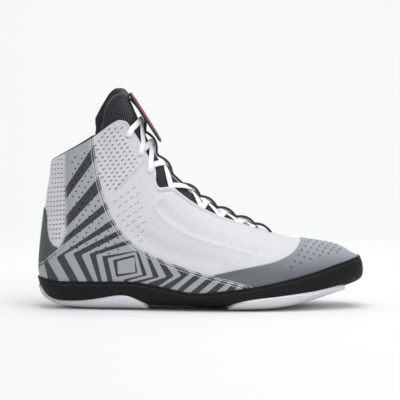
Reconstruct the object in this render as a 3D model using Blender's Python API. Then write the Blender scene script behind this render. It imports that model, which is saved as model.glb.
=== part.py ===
"""A high-cut wrestling shoe for the right foot, size 9 for men, standing empty on its sole.

The toe points along +X, the outer side of the foot faces -Y, and the floor is z = 0.
Every piece is cut from or laid on one last surface, so all of them follow its sizes.
"""

from collections import namedtuple
from math import cos, pi, radians, sin

import bmesh
import bpy
import numpy as np
from mathutils import Vector

# Overall sizes, in metres
SHOE_LENGTH = 0.288
INSTEP_HEIGHT = 0.113
ANKLE_RISE = 0.0552
COLLAR_HEIGHT = 0.129
TOE_LIFT = 0.0283
SOLE_UNDER = 0.0052
BALL_WIDTH = 0.093
HEEL_WIDTH = 0.065
COLLAR_WIDTH = 0.064
THROAT_WIDTH = 0.042

# Walls and layers
UPPER_WALL = 0.0022
FIT_GAP = 0.0003
PANEL_THICKNESS = 0.0008
TOE_CAP_THICKNESS = 0.0010
COUNTER_THICKNESS = 0.0013
RUBBER_WALL = 0.0021
INSOLE_THICKNESS = 0.0034
TONGUE_THICKNESS = 0.0042
LINING_THICKNESS = 0.0028
LASTING_MARGIN = 0.012
THROAT_RIM_WIDTH = 0.0035
THROAT_RIM_HEIGHT = 0.0011
THROAT_RIM_STEP = 0.3 * THROAT_RIM_WIDTH
POD_EDGE = 0.0006
POD_FULL_UNDER = 0.67
SEAM_GAP = 0.0004

# Lacing
LACE_WIDTH = 0.0052
LACE_THICKNESS = 0.0018
EYELET_RADIUS = 0.0023
WEBBING_WIDTH = 0.008
WEBBING_THICKNESS = 0.0011
EYELET_SETBACK = 0.0068
LACE_SEAT = FIT_GAP - UPPER_WALL
LACE_OVER = 0.85 * LACE_THICKNESS
ARCH_FLAT = 0.0074
ARCH_FOOT = 0.0102
KEEPER_STEP = 0.0034

# The flap over the lacing, with its stripe
COVER_WIDTH = 0.034
COVER_LENGTH = 0.051
COVER_THICKNESS = 0.0026
COVER_STANDS_OFF = 0.0075
COVER_CORNER = 0.0153
STRIPE_WIDTH = 0.010
STRIPE_THICKNESS = 0.0005
STRIPE_INSET = 0.006

# How finely the shapes are worked out
SECTION_POINTS = 81
MERGE_DISTANCE = 0.000005
LACE_STEPS = 7

# The last: one row for each section, from the toe tip over the foot to the top of the tongue.
# A section is a plane through the line from a sole point to a ridge point.
# sole_x, ridge_x: share of SHOE_LENGTH from the heel; lift: share of TOE_LIFT;
# back: share of the height from the foot bed to the collar; ridge: share of INSTEP_HEIGHT;
# ankle: share of ANKLE_RISE above the instep; breadth: share of the width in the next column;
# swing, lean: sideways shift of the section and of its ridge, share of BALL_WIDTH, inwards;
# belly: where the section is broadest, from sole to ridge; sole_curve, ridge_curve: how square
# each end is, 2 being an ellipse; bow: share of ANKLE_RISE that the section arches up.
Section = namedtuple(
    "Section",
    "sole_x ridge_x lift back ridge ankle breadth width swing lean belly sole_curve ridge_curve bow",
)
LAST = [
    Section(0.991, 0.991, 1.00, 0.0, 0.298, 0.0, 0.000, BALL_WIDTH, 0.075, 0.000, 0.45, 2.3, 2.3, 0.0),
    Section(0.986, 0.984, 0.78, 0.0, 0.380, 0.0, 0.323, BALL_WIDTH, 0.075, 0.000, 0.45, 2.5, 2.2, 0.0),
    Section(0.962, 0.963, 0.66, 0.0, 0.416, 0.0, 0.538, BALL_WIDTH, 0.070, 0.005, 0.42, 2.9, 2.2, 0.0),
    Section(0.921, 0.927, 0.53, 0.0, 0.469, 0.0, 0.700, BALL_WIDTH, 0.060, 0.016, 0.40, 3.2, 2.2, 0.0),
    Section(0.866, 0.878, 0.36, 0.0, 0.503, 0.0, 0.810, BALL_WIDTH, 0.043, 0.032, 0.38, 3.6, 2.2, 0.0),
    Section(0.799, 0.820, 0.17, 0.0, 0.525, 0.0, 0.905, BALL_WIDTH, 0.027, 0.048, 0.36, 3.8, 2.1, 0.0),
    Section(0.731, 0.759, 0.05, 0.0, 0.554, 0.0, 0.973, BALL_WIDTH, 0.005, 0.059, 0.33, 4.0, 2.0, 0.0),
    Section(0.658, 0.689, 0.00, 0.0, 0.604, 0.0, 1.000, BALL_WIDTH, -0.011, 0.065, 0.30, 4.0, 1.95, 0.0),
    Section(0.585, 0.615, 0.00, 0.0, 0.681, 0.0, 0.960, BALL_WIDTH, -0.030, 0.065, 0.28, 4.0, 1.85, 0.0),
    Section(0.508, 0.542, 0.00, 0.0, 0.774, 0.0, 0.880, BALL_WIDTH, -0.045, 0.062, 0.26, 3.8, 1.8, 0.0),
    Section(0.432, 0.478, 0.00, 0.0, 0.887, 0.0, 1.130, HEEL_WIDTH, -0.052, 0.055, 0.25, 3.6, 1.8, 0.0),
    Section(0.347, 0.426, 0.00, 0.0, 1.000, 0.0, 1.030, HEEL_WIDTH, -0.048, 0.045, 0.25, 3.4, 1.8, 0.0),
    Section(0.249, 0.389, 0.00, 0.0, 1.000, 0.207, 0.990, HEEL_WIDTH, -0.032, 0.032, 0.28, 3.2, 1.85, 0.0),
    Section(0.151, 0.365, 0.00, 0.003, 1.000, 0.397, 0.985, HEEL_WIDTH, -0.014, 0.018, 0.34, 3.0, 1.9, 0.0),
    Section(0.066, 0.347, 0.00, 0.028, 1.000, 0.572, 0.995, HEEL_WIDTH, 0.000, 0.010, 0.40, 2.6, 2.0, 0.0),
    Section(0.023, 0.333, 0.00, 0.109, 1.000, 0.716, 0.995, HEEL_WIDTH, 0.000, 0.005, 0.44, 2.4, 2.1, 0.012),
    Section(0.010, 0.324, 0.00, 0.258, 1.000, 0.812, 0.975, HEEL_WIDTH, 0.000, 0.000, 0.46, 2.3, 2.2, 0.028),
    Section(0.018, 0.318, 0.00, 0.493, 1.000, 0.891, 0.960, COLLAR_WIDTH, 0.000, 0.000, 0.48, 2.2, 2.2, 0.046),
    Section(0.031, 0.313, 0.00, 0.741, 1.000, 0.951, 0.955, COLLAR_WIDTH, 0.000, 0.000, 0.50, 2.1, 2.2, 0.062),
    Section(0.046, 0.310, 0.00, 1.000, 1.000, 1.000, 0.985, COLLAR_WIDTH, 0.000, 0.000, 0.52, 2.1, 2.2, 0.072),
    Section(0.063, 0.300, 0.00, 1.146, 1.000, 1.176, 1.030, COLLAR_WIDTH, 0.000, 0.000, 0.52, 2.1, 2.2, 0.075),
    Section(0.081, 0.292, 0.00, 1.288, 1.000, 1.319, 1.080, COLLAR_WIDTH, 0.000, 0.000, 0.52, 2.1, 2.2, 0.075),
    Section(0.102, 0.286, 0.00, 1.409, 1.000, 1.462, 1.130, COLLAR_WIDTH, 0.000, 0.000, 0.52, 2.1, 2.2, 0.075),
]

# The throat: half its width at stations of the last, as a share of half THROAT_WIDTH
Throat = namedtuple("Throat", "station half")
THROAT = [
    Throat(6.6, 0.26),
    Throat(7.0, 0.33),
    Throat(8.0, 0.47),
    Throat(8.9, 0.64),
    Throat(10.0, 0.73),
    Throat(11.0, 0.70),
    Throat(11.4, 0.95),
    Throat(11.8, 1.27),
    Throat(12.1, 1.20),
    Throat(12.4, 0.79),
    Throat(12.9, 0.71),
    Throat(13.9, 0.75),
    Throat(15.7, 0.84),
    Throat(17.4, 0.99),
    Throat(18.4, 1.10),
    Throat(18.75, 1.26),
    Throat(19.0, 1.58),
]

# Outlines on the side of the shoe: share of SHOE_LENGTH from the heel, and share of
# INSTEP_HEIGHT from the floor. They are joined by smooth curves between corners.
Spot = namedtuple("Spot", "along up")
RUBBER_TOP = [
    Spot(-0.060, 0.264),
    Spot(0.012, 0.252),
    Spot(0.045, 0.236),
    Spot(0.100, 0.226),
    Spot(0.247, 0.229),
    Spot(0.320, 0.220),
    Spot(0.393, 0.186),
    Spot(0.446, 0.158),
    Spot(0.498, 0.147),
    Spot(0.560, 0.160),
    Spot(0.659, 0.191),
    Spot(0.768, 0.249),
    Spot(0.847, 0.301),
    Spot(0.900, 0.344),
    Spot(0.946, 0.374),
    Spot(0.983, 0.392),
    Spot(1.060, 0.415),
]
HEEL_POD_TOP = [
    Spot(-0.050, 0.240),
    Spot(0.012, 0.205),
    Spot(0.040, 0.118),
    Spot(0.075, 0.084),
    Spot(0.129, 0.085),
    Spot(0.189, 0.103),
    Spot(0.245, 0.126),
    Spot(0.285, 0.124),
    Spot(0.320, 0.092),
    Spot(0.347, 0.050),
    Spot(0.365, -0.030),
]
FOREFOOT_POD_TOP = [
    Spot(0.545, -0.040),
    Spot(0.560, 0.010),
    Spot(0.585, 0.055),
    Spot(0.632, 0.098),
    Spot(0.728, 0.126),
    Spot(0.842, 0.166),
    Spot(0.917, 0.205),
    Spot(0.938, 0.195),
]
PANEL_FRONT = [
    Spot(0.180, 1.500),
    Spot(0.182, 1.290),
    Spot(0.196, 1.030),
    Spot(0.224, 0.785),
    Spot(0.262, 0.607),
    Spot(0.325, 0.467),
    Spot(0.419, 0.360),
    Spot(0.526, 0.276),
    Spot(0.616, 0.216),
    Spot(0.690, 0.160),
]
PANEL_BACK = [
    Spot(-0.030, 0.345),
    Spot(0.010, 0.354),
    Spot(0.035, 0.390),
    Spot(0.060, 0.447),
    Spot(0.080, 0.495),
    Spot(0.093, 0.560),
    Spot(0.098, 0.650),
    Spot(0.097, 0.840),
    Spot(0.095, 1.020),
    Spot(0.095, 1.180),
    Spot(0.096, 1.340),
]
COUNTER_FRONT = [
    Spot(-0.040, 0.810),
    Spot(0.000, 0.806),
    Spot(0.028, 0.780),
    Spot(0.036, 0.705),
    Spot(0.039, 0.620),
    Spot(0.046, 0.542),
    Spot(0.058, 0.497),
    Spot(0.072, 0.484),
]
TOE_CAP_BACK = [
    Spot(0.534, 0.276),
    Spot(0.605, 0.317),
    Spot(0.665, 0.345),
    Spot(0.720, 0.374),
    Spot(0.772, 0.430),
    Spot(0.801, 0.507),
    Spot(0.826, 0.610),
]

# The grid that every layer of the shoe shares, so that the gaps between layers hold. Its rows
# are stations of the last, and its columns follow the throat's edge, its rim and the margin.
ROWS = [0, 0.35, 1, 2, 3, 4, 5, 6, 6.6, 7, 8, 8.9, 10, 11, 11.4, 11.8, 12.1, 12.4, 13]
ROWS += [13.9, 14.5, 15.1, 15.8, 16.5, 17.3, 18.1, 18.65, 19]
SIDE_STEPS = [0.24, 0.46, 0.67, 0.84, 0.94, 1.0]
THROAT_COLUMN = 2
TONGUE_COLUMN = 5
MARGIN_COLUMN = 10

# Stations of the last where something starts or ends
THROAT_START = 6.6
MARGIN_START = 2
MARGIN_END = 13.9
COLLAR_STATION = 19
ANKLE_STATION = 16.5
WAIST_STATION = 10
INSOLE_START = 1
INSOLE_END = 14.5
TONGUE_START = 6
LINING_START = 18.1
LINING_TOP = 19.12
KEEPER_START = 6.7
KEEPER_END = 18.4
COVER_STATION = 21.3
COVER_AIM = 14.0
EYELETS = [12.8, 14.2, 16.7]

# The tongue above the collar: its width as a share of its width at the collar
Wing = namedtuple("Wing", "station width")
WINGS = [
    Wing(19.0, 1.00),
    Wing(19.4, 0.93),
    Wing(20.0, 0.90),
    Wing(20.5, 0.79),
    Wing(20.9, 0.66),
    Wing(21.2, 0.50),
    Wing(21.35, 0.34),
]

# The lace's crossings: the stations where its two bars leave the throat's edge, cross on the
# tongue and reach the edge again. The first one is a single bar, straight across.
Crossing = namedtuple("Crossing", "lower middle upper")
LACING = [
    Crossing(7.3, 7.0, 7.3),
    Crossing(7.3, 7.7, 7.95),
    Crossing(7.95, 8.5, 8.7),
    Crossing(8.7, 9.3, 9.5),
    Crossing(9.5, 10.1, 11.1),
    Crossing(11.1, 12.0, 12.8),
    Crossing(12.8, 14.0, 14.2),
    Crossing(14.5, 17.5, 16.7),
]


def spline(values, round_start=False):
    """A smooth curve through values at 0, 1, 2 and so on; round_start gives it no slope there."""
    count = len(values)
    matrix = np.zeros((count, count))
    right = np.zeros(count)
    for i in range(1, count - 1):
        matrix[i, i - 1 : i + 2] = (1, 4, 1)
        right[i] = 6 * (values[i + 1] - 2 * values[i] + values[i - 1])
    matrix[0, 0] = matrix[-1, -1] = 1
    if round_start:
        matrix[0, :2] = (2, 1)
        right[0] = 6 * (values[1] - values[0])
    bend = np.linalg.solve(matrix, right)

    def curve(at):
        i = int(min(max(at, 0), count - 1.000001))
        t = at - i
        start = values[i] * (1 - t) + bend[i] * ((1 - t) ** 3 - (1 - t)) / 6
        return start + values[i + 1] * t + bend[i + 1] * (t**3 - t) / 6

    return curve


def last_curves():
    """One smooth curve for each property of the sections, in metres."""
    bed = COLLAR_HEIGHT - SOLE_UNDER
    sole_x = np.array([(s.sole_x - 0.5) * SHOE_LENGTH for s in LAST])
    ridge_x = np.array([(s.ridge_x - 0.5) * SHOE_LENGTH for s in LAST])
    sole_z = np.array([SOLE_UNDER + s.lift * TOE_LIFT + s.back * bed for s in LAST])
    ridge_z = np.array([s.ridge * INSTEP_HEIGHT + s.ankle * ANKLE_RISE for s in LAST])
    sole_z[0] = ridge_z[0] = (sole_z[0] + ridge_z[0]) / 2
    return {
        "middle_x": spline((sole_x + ridge_x) / 2, round_start=True),
        "half_x": spline((ridge_x - sole_x) / 2),
        "middle_z": spline((sole_z + ridge_z) / 2, round_start=True),
        "half_z": spline((ridge_z - sole_z) / 2),
        "half_breadth": spline(np.array([s.breadth * s.width / 2 for s in LAST])),
        "swing": spline(np.array([s.swing * BALL_WIDTH for s in LAST]), round_start=True),
        "lean": spline(np.array([s.lean * BALL_WIDTH for s in LAST]), round_start=True),
        "belly": spline(np.array([s.belly for s in LAST]), round_start=True),
        "sole_curve": spline(np.array([s.sole_curve for s in LAST]), round_start=True),
        "ridge_curve": spline(np.array([s.ridge_curve for s in LAST]), round_start=True),
        "bow": spline(np.array([s.bow * ANKLE_RISE for s in LAST]), round_start=True),
    }


CURVES = last_curves()
SECTIONS = {}


def section(station):
    """The outer and inner half of one section, each from ridge to sole, with their lengths."""
    key = round(station, 6)
    if key in SECTIONS:
        return SECTIONS[key]
    at = {name: curve(station) for name, curve in CURVES.items()}
    angle = np.linspace(0, pi, SECTION_POINTS)
    power = 2 / np.where(np.cos(angle) >= 0, at["ridge_curve"], at["sole_curve"])
    reach = np.where(np.cos(angle) >= 0, 1 - at["belly"], -at["belly"])
    up = at["belly"] + reach * np.abs(np.cos(angle)) ** power
    out = at["half_breadth"] * np.abs(np.sin(angle)) ** power
    run_x, run_z = 2 * at["half_x"], 2 * at["half_z"]
    length = np.hypot(run_x, run_z) + 1e-9
    arch = at["bow"] * np.abs(np.sin(pi * up**3)) ** 1.5
    x = at["middle_x"] - at["half_x"] + run_x * up - run_z / length * arch
    z = at["middle_z"] - at["half_z"] + run_z * up + run_x / length * arch
    halves = []
    for side in (-1, 1):
        y = at["swing"] + at["lean"] * up + side * out
        points = np.stack([x, y, z], 1)
        steps = np.linalg.norm(np.diff(points, axis=0), axis=1)
        halves.append((points, np.concatenate([[0], np.cumsum(steps)])))
    SECTIONS[key] = halves
    return halves


def girth(station, side):
    """The length of half a section, from ridge to sole, and more than nothing at the toe tip."""
    return max(section(station)[0 if side < 0 else 1][1][-1], MERGE_DISTANCE)


def on_last(station, turn):
    """A point of the last. turn is 0 at the ridge, -1 or 1 at the sole, minus on the outer side."""
    turn = (turn + 1) % 2 - 1
    points, lengths = section(max(station, 0))[0 if turn < 0 else 1]
    reach = abs(turn) * lengths[-1]
    return np.array([np.interp(reach, lengths, points[:, i]) for i in range(3)])


def facing(station, turn):
    """The direction that points straight out of the last. At the toe tip all turns share it."""
    if station < ROWS[1]:
        ring = [facing(ROWS[1], t) for t in (0, 0.5, 1, -0.5)]
        return sum(ring) / np.linalg.norm(sum(ring))
    station = min(station, len(LAST) - 1.03)
    along = on_last(station + 0.02, turn) - on_last(station - 0.02, turn)
    around = on_last(station, turn + 0.01) - on_last(station, turn - 0.01)
    out = np.cross(around, along)
    return out / np.linalg.norm(out)


def off_last(station, turn, offset):
    """A point that stands offset outside the last; offset may be a function of the place."""
    if callable(offset):
        offset = offset(station, turn)
    return on_last(station, turn) + offset * facing(station, turn)


def throat_turn(station, side):
    """Where the throat's edge cuts a section."""
    half = np.interp(station, [t.station for t in THROAT], [t.half for t in THROAT])
    return side * half * THROAT_WIDTH / 2 / girth(station, side)


def margin_turn(station, side):
    """Where the lasting margin ends under the foot."""
    half_bed = max(CURVES["half_breadth"](station) - LASTING_MARGIN, 0)
    return side * (1 - half_bed / girth(station, side))


def half_turns(station, side):
    """The columns of one side of a row, from ridge to sole."""
    edge = throat_turn(station, side)
    rim = side * THROAT_RIM_WIDTH / girth(station, side)
    margin = margin_turn(station, side)
    step = side * THROAT_RIM_STEP / girth(station, side)
    turns = [0, edge / 2, edge, edge + rim, edge + rim + step]
    turns += [turns[-1] + (margin - turns[-1]) * share for share in SIDE_STEPS]
    turns += [(margin + side) / 2, side]
    even = side * np.linspace(0, 1, len(turns))
    follows = np.interp(station, [3, 6], [0, 1])
    return list(even + (np.array(turns) - even) * follows)


def ring_turns(station):
    """All columns of a row, from the sole over the ridge to the sole again."""
    return half_turns(station, -1)[::-1] + half_turns(station, 1)[1:]


def layer(rows, offset, columns=None):
    """A grid of points at an offset from the last; columns picks some, counted from the ridge."""
    grid = []
    for station in rows:
        turns = ring_turns(station)
        ridge = len(turns) // 2
        if columns is not None:
            turns = [turns[ridge + column] for column in columns]
        grid.append([off_last(station, turn, offset) for turn in turns])
    return grid


def wall(inner_offset, outer_offset, first_row, last_row):
    """A tube between two offsets, open at its ends but not at the toe, to cut an overlay from."""
    rows = [station for station in ROWS if first_row <= station <= last_row]
    return skin(layer(rows, outer_offset), layer(rows, inner_offset), closed_ring=True)


def finish(name, mesh, colour, roughness, collection):
    """Puts a mesh in the scene as a named part with its own material."""
    material = bpy.data.materials.new(name)
    material.use_nodes = True
    shader = material.node_tree.nodes["Principled BSDF"]
    shader.inputs["Base Color"].default_value = (*colour, 1)
    shader.inputs["Roughness"].default_value = roughness
    shader.inputs["Metallic"].default_value = 0.0
    mesh.materials.clear()
    mesh.materials.append(material)
    mesh.shade_smooth()
    mesh.set_sharp_from_angle(angle=radians(35))
    part = bpy.data.objects.new(name, mesh)
    collection.objects.link(part)
    return part


def to_mesh(made, name):
    """Turns a bmesh with its faces outwards into a mesh."""
    bmesh.ops.recalc_face_normals(made, faces=made.faces)
    mesh = bpy.data.meshes.new(name)
    made.to_mesh(mesh)
    made.free()
    return mesh


def skin(outer, inner, closed_ring=False, holes=()):
    """A closed wall between two grids of points, with a rim round its edge and round each hole.

    The grids are lists of rows. A hole is its first row, last row, first column, last column.
    All layers halve their cells along the same diagonal, which keeps them parallel.
    """
    rows, cells = len(outer) - 1, len(outer[0]) - 1
    made = bmesh.new()
    sheets = []
    for grid in (outer, inner):
        verts = [[made.verts.new(point) for point in row] for row in grid]
        if closed_ring:
            for row in verts:
                made.verts.remove(row[-1])
                row[-1] = row[0]
        sheets.append(verts)
    kept = set()
    for i in range(rows):
        for j in range(cells):
            if not any(a <= i < b and c <= j < d for a, b, c, d in holes):
                kept.add((i, j))
    for i, j in sorted(kept):
        for corner in ((i, j + 1), (i + 1, j)):
            half = [(i, j), corner, (i + 1, j + 1)]
            for sheet in sheets:
                made.faces.new([sheet[a][b] for a, b in half])
        left = (i, (j - 1) % cells) if closed_ring else (i, j - 1)
        right = (i, (j + 1) % cells) if closed_ring else (i, j + 1)
        borders = (
            ((i - 1, j), (i, j + 1), (i, j)),
            ((i + 1, j), (i + 1, j), (i + 1, j + 1)),
            (left, (i, j), (i + 1, j)),
            (right, (i + 1, j + 1), (i, j + 1)),
        )
        for neighbour, start, end in borders:
            if neighbour in kept:
                continue
            rim = [sheets[0][start[0]][start[1]], sheets[0][end[0]][end[1]]]
            rim += [sheets[1][end[0]][end[1]], sheets[1][start[0]][start[1]]]
            if (rim[0].co - rim[1].co).length > MERGE_DISTANCE:
                made.faces.new(rim)
    bmesh.ops.remove_doubles(made, verts=made.verts, dist=MERGE_DISTANCE)
    return to_mesh(made, "skin")


def sweep(path, outwards, width, thickness, sides=6):
    """A flat tube along a path; outwards holds the direction that its flat side faces."""
    made = bmesh.new()
    rings = []
    for i, point in enumerate(path):
        ahead = path[min(i + 1, len(path) - 1)] - path[max(i - 1, 0)]
        across = np.cross(outwards[i], ahead)
        across = across / np.linalg.norm(across)
        rise = np.cross(ahead, across)
        rise = rise / np.linalg.norm(rise)
        ring = []
        for k in range(sides):
            angle = 2 * pi * (k + 0.5) / sides
            flat = across * cos(angle) * width / 2 / cos(pi / sides)
            ring.append(made.verts.new(point + flat + rise * sin(angle) * thickness / 2))
        rings.append(ring)
    for start, end in zip(rings, rings[1:]):
        for k in range(sides):
            after = (k + 1) % sides
            made.faces.new((start[k], start[after], end[after], end[k]))
    made.faces.new(rings[0][::-1])
    made.faces.new(rings[-1])
    return to_mesh(made, "sweep")


def smooth_line(spots, steps=2):
    """A smooth line through spots, as points (x, z) in metres."""
    along = spline(np.array([(s.along - 0.5) * SHOE_LENGTH for s in spots]))
    up = spline(np.array([s.up * INSTEP_HEIGHT for s in spots]))
    count = (len(spots) - 1) * steps
    return [(along(i / steps), up(i / steps)) for i in range(count + 1)]


def height_on(line, x):
    """The height of a line at x."""
    return np.interp(x, [p[0] for p in line], [p[1] for p in line])


def cutter(name, mesh, cutters):
    """An object that only cuts, and isn't part of the shoe."""
    made = bpy.data.objects.new(name, mesh)
    made.hide_render = True
    made.display_type = "WIRE"
    cutters.objects.link(made)
    return made


def prism(name, outline, cutters):
    """A cutter: a side outline, drawn out right across the shoe."""
    made = bmesh.new()
    face = made.faces.new([made.verts.new((x, -BALL_WIDTH, z)) for x, z in outline])
    drawn = bmesh.ops.extrude_face_region(made, geom=[face])
    moved = [v for v in drawn["geom"] if isinstance(v, bmesh.types.BMVert)]
    bmesh.ops.translate(made, verts=moved, vec=(0, 2 * BALL_WIDTH, 0))
    return cutter(name, to_mesh(made, name), cutters)


def cut(part, tool, operation):
    """Adds a Boolean to a part."""
    boolean = part.modifiers.new(tool.name, "BOOLEAN")
    boolean.operation = operation
    boolean.object = tool


def rim_rise(station, turn):
    """How far the folded rim of the throat stands up from the upper."""
    side = -1 if turn < 0 else 1
    away = (abs(turn) - abs(throat_turn(station, side))) * girth(station, side)
    low = THROAT_RIM_WIDTH + THROAT_RIM_STEP
    fades = np.interp(away, [THROAT_RIM_WIDTH + FIT_GAP / 10, low - FIT_GAP / 10], [1, 0])
    lower = np.interp(station, [THROAT_START, 7, 11.8, 12.2], [0, 1, 1, 0])
    return THROAT_RIM_HEIGHT * fades * lower


def build_upper(parts, cutters):
    """The knitted upper: one hollow wall, open at the collar, down the throat and underneath."""
    outer = layer(ROWS, rim_rise)
    inner = layer(ROWS, -UPPER_WALL)
    cells = len(outer[0]) - 1
    ridge = cells // 2
    margin = ridge - MARGIN_COLUMN
    sole_rows = np.searchsorted(ROWS, (MARGIN_START, MARGIN_END))
    throat_rows = np.searchsorted(ROWS, THROAT_START), len(ROWS)
    holes = (
        (*throat_rows, ridge - THROAT_COLUMN, ridge + THROAT_COLUMN),
        (*sole_rows, 0, margin),
        (*sole_rows, cells - margin, cells),
    )
    upper = finish("upper", skin(outer, inner, True, holes), (0.80, 0.80, 0.82), 0.85, parts)
    for station in EYELETS:
        for side in (-1, 1):
            turn = throat_turn(station, side) + side * EYELET_SETBACK / girth(station, side)
            punch = bmesh.new()
            bmesh.ops.create_cone(
                punch,
                cap_ends=True,
                segments=10,
                radius1=EYELET_RADIUS,
                radius2=EYELET_RADIUS,
                depth=4 * UPPER_WALL,
            )
            name = f"eyelet_{station:.0f}_{'outer' if side < 0 else 'inner'}"
            tool = cutter(name, to_mesh(punch, name), cutters)
            tool.location = on_last(station, turn)
            tool.rotation_mode = "QUATERNION"
            tool.rotation_quaternion = Vector(facing(station, turn)).to_track_quat("Z", "Y")
            cut(upper, tool, "DIFFERENCE")


def build_sole(parts, cutters):
    """The black rubber cup, and the white pods under heel and forefoot that it stands on."""
    mesh = wall(FIT_GAP, FIT_GAP + RUBBER_WALL, 0, ANKLE_STATION)
    cup = finish("outsole", mesh, (0.018, 0.018, 0.021), 0.72, parts)
    top = smooth_line(RUBBER_TOP)
    below = [(top[-1][0], -SOLE_UNDER), (top[0][0], -SOLE_UNDER)]
    cut(cup, prism("below_rubber_top", top + below, cutters), "INTERSECT")
    pod_inside = 2 * FIT_GAP + RUBBER_WALL

    def pod_face(station, turn):
        """The pod is thin up the side and as thick as the sole where the last faces the floor."""
        under = np.clip(-facing(station, turn)[2] / POD_FULL_UNDER, 0, 1) ** 2
        thick = POD_EDGE + (SOLE_UNDER + FIT_GAP - pod_inside - POD_EDGE) * under
        return pod_inside + thick

    pods = (
        ("heel_pod", HEEL_POD_TOP, WAIST_STATION, ANKLE_STATION),
        ("forefoot_pod", FOREFOOT_POD_TOP, 0, WAIST_STATION),
    )
    for name, line, first_row, last_row in pods:
        mesh = wall(pod_inside, pod_face, first_row, last_row)
        for vert in mesh.vertices:
            vert.co.z = max(vert.co.z, 0)
        pod = finish(name, mesh, (0.78, 0.78, 0.80), 0.4, parts)
        curve = smooth_line(line)
        below = [(curve[-1][0], -SOLE_UNDER), (curve[0][0], -SOLE_UNDER)]
        cut(pod, prism(f"below_{name}_top", curve + below, cutters), "INTERSECT")


def build_overlays(parts, cutters):
    """Side panel, heel counter and toe cap, cut from thin walls that lie on the upper."""
    seam = SEAM_GAP / INSTEP_HEIGHT
    rubber = smooth_line([Spot(s.along, s.up + seam) for s in RUBBER_TOP])
    front = [p for p in smooth_line(PANEL_FRONT) if p[1] > height_on(rubber, p[0])]
    back = smooth_line(PANEL_BACK)
    base = [p for p in rubber if back[0][0] < p[0] < front[-1][0]]
    mesh = wall(FIT_GAP, FIT_GAP + PANEL_THICKNESS, 0, COLLAR_STATION)
    panel = finish("side_panel", mesh, (0.33, 0.34, 0.36), 0.6, parts)
    cut(panel, prism("panel_outline", front + base[::-1] + back, cutters), "INTERSECT")

    line = smooth_line(COUNTER_FRONT)
    base = [(x, z + 1.5 * SEAM_GAP) for x, z in back if x < line[-1][0]]
    mesh = wall(FIT_GAP, FIT_GAP + COUNTER_THICKNESS, WAIST_STATION, COLLAR_STATION)
    counter = finish("heel_counter", mesh, (0.05, 0.06, 0.06), 0.8, parts)
    cut(counter, prism("counter_outline", line + base[::-1], cutters), "INTERSECT")

    line = smooth_line(TOE_CAP_BACK)
    base = [(x, z + 2 * SEAM_GAP) for x, z in front if x > line[0][0]]
    base += [p for p in rubber if p[0] > front[-1][0]]
    mesh = wall(FIT_GAP, FIT_GAP + TOE_CAP_THICKNESS, 0, WAIST_STATION)
    cap = finish("toe_cap", mesh, (0.20, 0.23, 0.25), 0.85, parts)
    outline = line + [(base[-1][0], line[-1][1])] + base[::-1]
    cut(cap, prism("toe_cap_outline", outline, cutters), "INTERSECT")


def build_inside(parts):
    """Insole, tongue and the lining of the collar."""
    inside = -UPPER_WALL - FIT_GAP
    ridge = len(half_turns(10, 1)) - 1
    inner_side = list(range(MARGIN_COLUMN - 1, ridge + 1))
    columns = inner_side + [-column for column in inner_side[-2::-1]]
    rows = [s for s in ROWS if INSOLE_START <= s <= INSOLE_END]
    mesh = skin(layer(rows, inside, columns), layer(rows, inside - INSOLE_THICKNESS, columns))
    finish("insole", mesh, (0.05, 0.05, 0.055), 0.9, parts)

    rows = [s for s in ROWS if s >= TONGUE_START] + [w.station for w in WINGS[1:]]
    grids = []
    for offset in (inside, inside - TONGUE_THICKNESS):
        grid = []
        for station in rows:
            turns = ring_turns(min(station, COLLAR_STATION))
            middle = len(turns) // 2
            turns = turns[middle - TONGUE_COLUMN : middle + TONGUE_COLUMN + 1]
            narrow = np.interp(station, [w.station for w in WINGS], [w.width for w in WINGS])
            grid.append([off_last(station, turn * narrow, offset) for turn in turns])
        grids.append(grid)
    finish("tongue", skin(*grids), (0.025, 0.025, 0.028), 0.9, parts)

    rows = [s for s in ROWS if s >= LINING_START] + [LINING_TOP]
    grids = []
    for offset in (inside, inside - LINING_THICKNESS):
        grid = []
        for station in rows:
            halves = []
            for side in (-1, 1):
                turns = half_turns(min(station, COLLAR_STATION), side)[TONGUE_COLUMN:]
                half = [off_last(station, turn, offset) for turn in turns]
                step = half[1] - half[0]
                half[0] = half[0] + step * 2 * FIT_GAP / np.linalg.norm(step)
                halves.append(half)
            grid.append(halves[1] + halves[0][-2::-1])
        grids.append(grid)
    finish("collar_lining", skin(*grids), (0.04, 0.04, 0.045), 0.9, parts)


def along_last(station, turn, distance):
    """The station that lies a distance further up from a place on the last."""
    reach = np.linalg.norm(on_last(station + 0.1, turn) - on_last(station - 0.1, turn))
    return station + 0.2 * distance / reach


def lace_bar(crossing, side, rise):
    """One bar of the lace, from the throat's edge on one side to the edge on the other."""
    inset = 0.5 * LACE_WIDTH + FIT_GAP
    straight = crossing.lower == crossing.upper
    start = along_last(crossing.lower, 0.1 * side, -inset if straight else inset)
    end = along_last(crossing.upper, -0.1 * side, -inset)
    from_turn = throat_turn(start, side) - side * inset / girth(start, side)
    to_turn = throat_turn(end, -side) + side * inset / girth(end, -side)
    path, outwards = [], []
    for t in np.linspace(0, 1, LACE_STEPS):
        station = start * (1 - t) * (1 - 2 * t) + end * t * (2 * t - 1)
        station += 4 * crossing.middle * t * (1 - t)
        turn = from_turn + (to_turn - from_turn) * t
        offset = LACE_SEAT + LACE_THICKNESS / 2 + rise * sin(pi * t) ** 4
        path.append(off_last(station, turn, offset))
        outwards.append(facing(station, turn))
    return sweep(path, outwards, LACE_WIDTH, LACE_THICKNESS)


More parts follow.
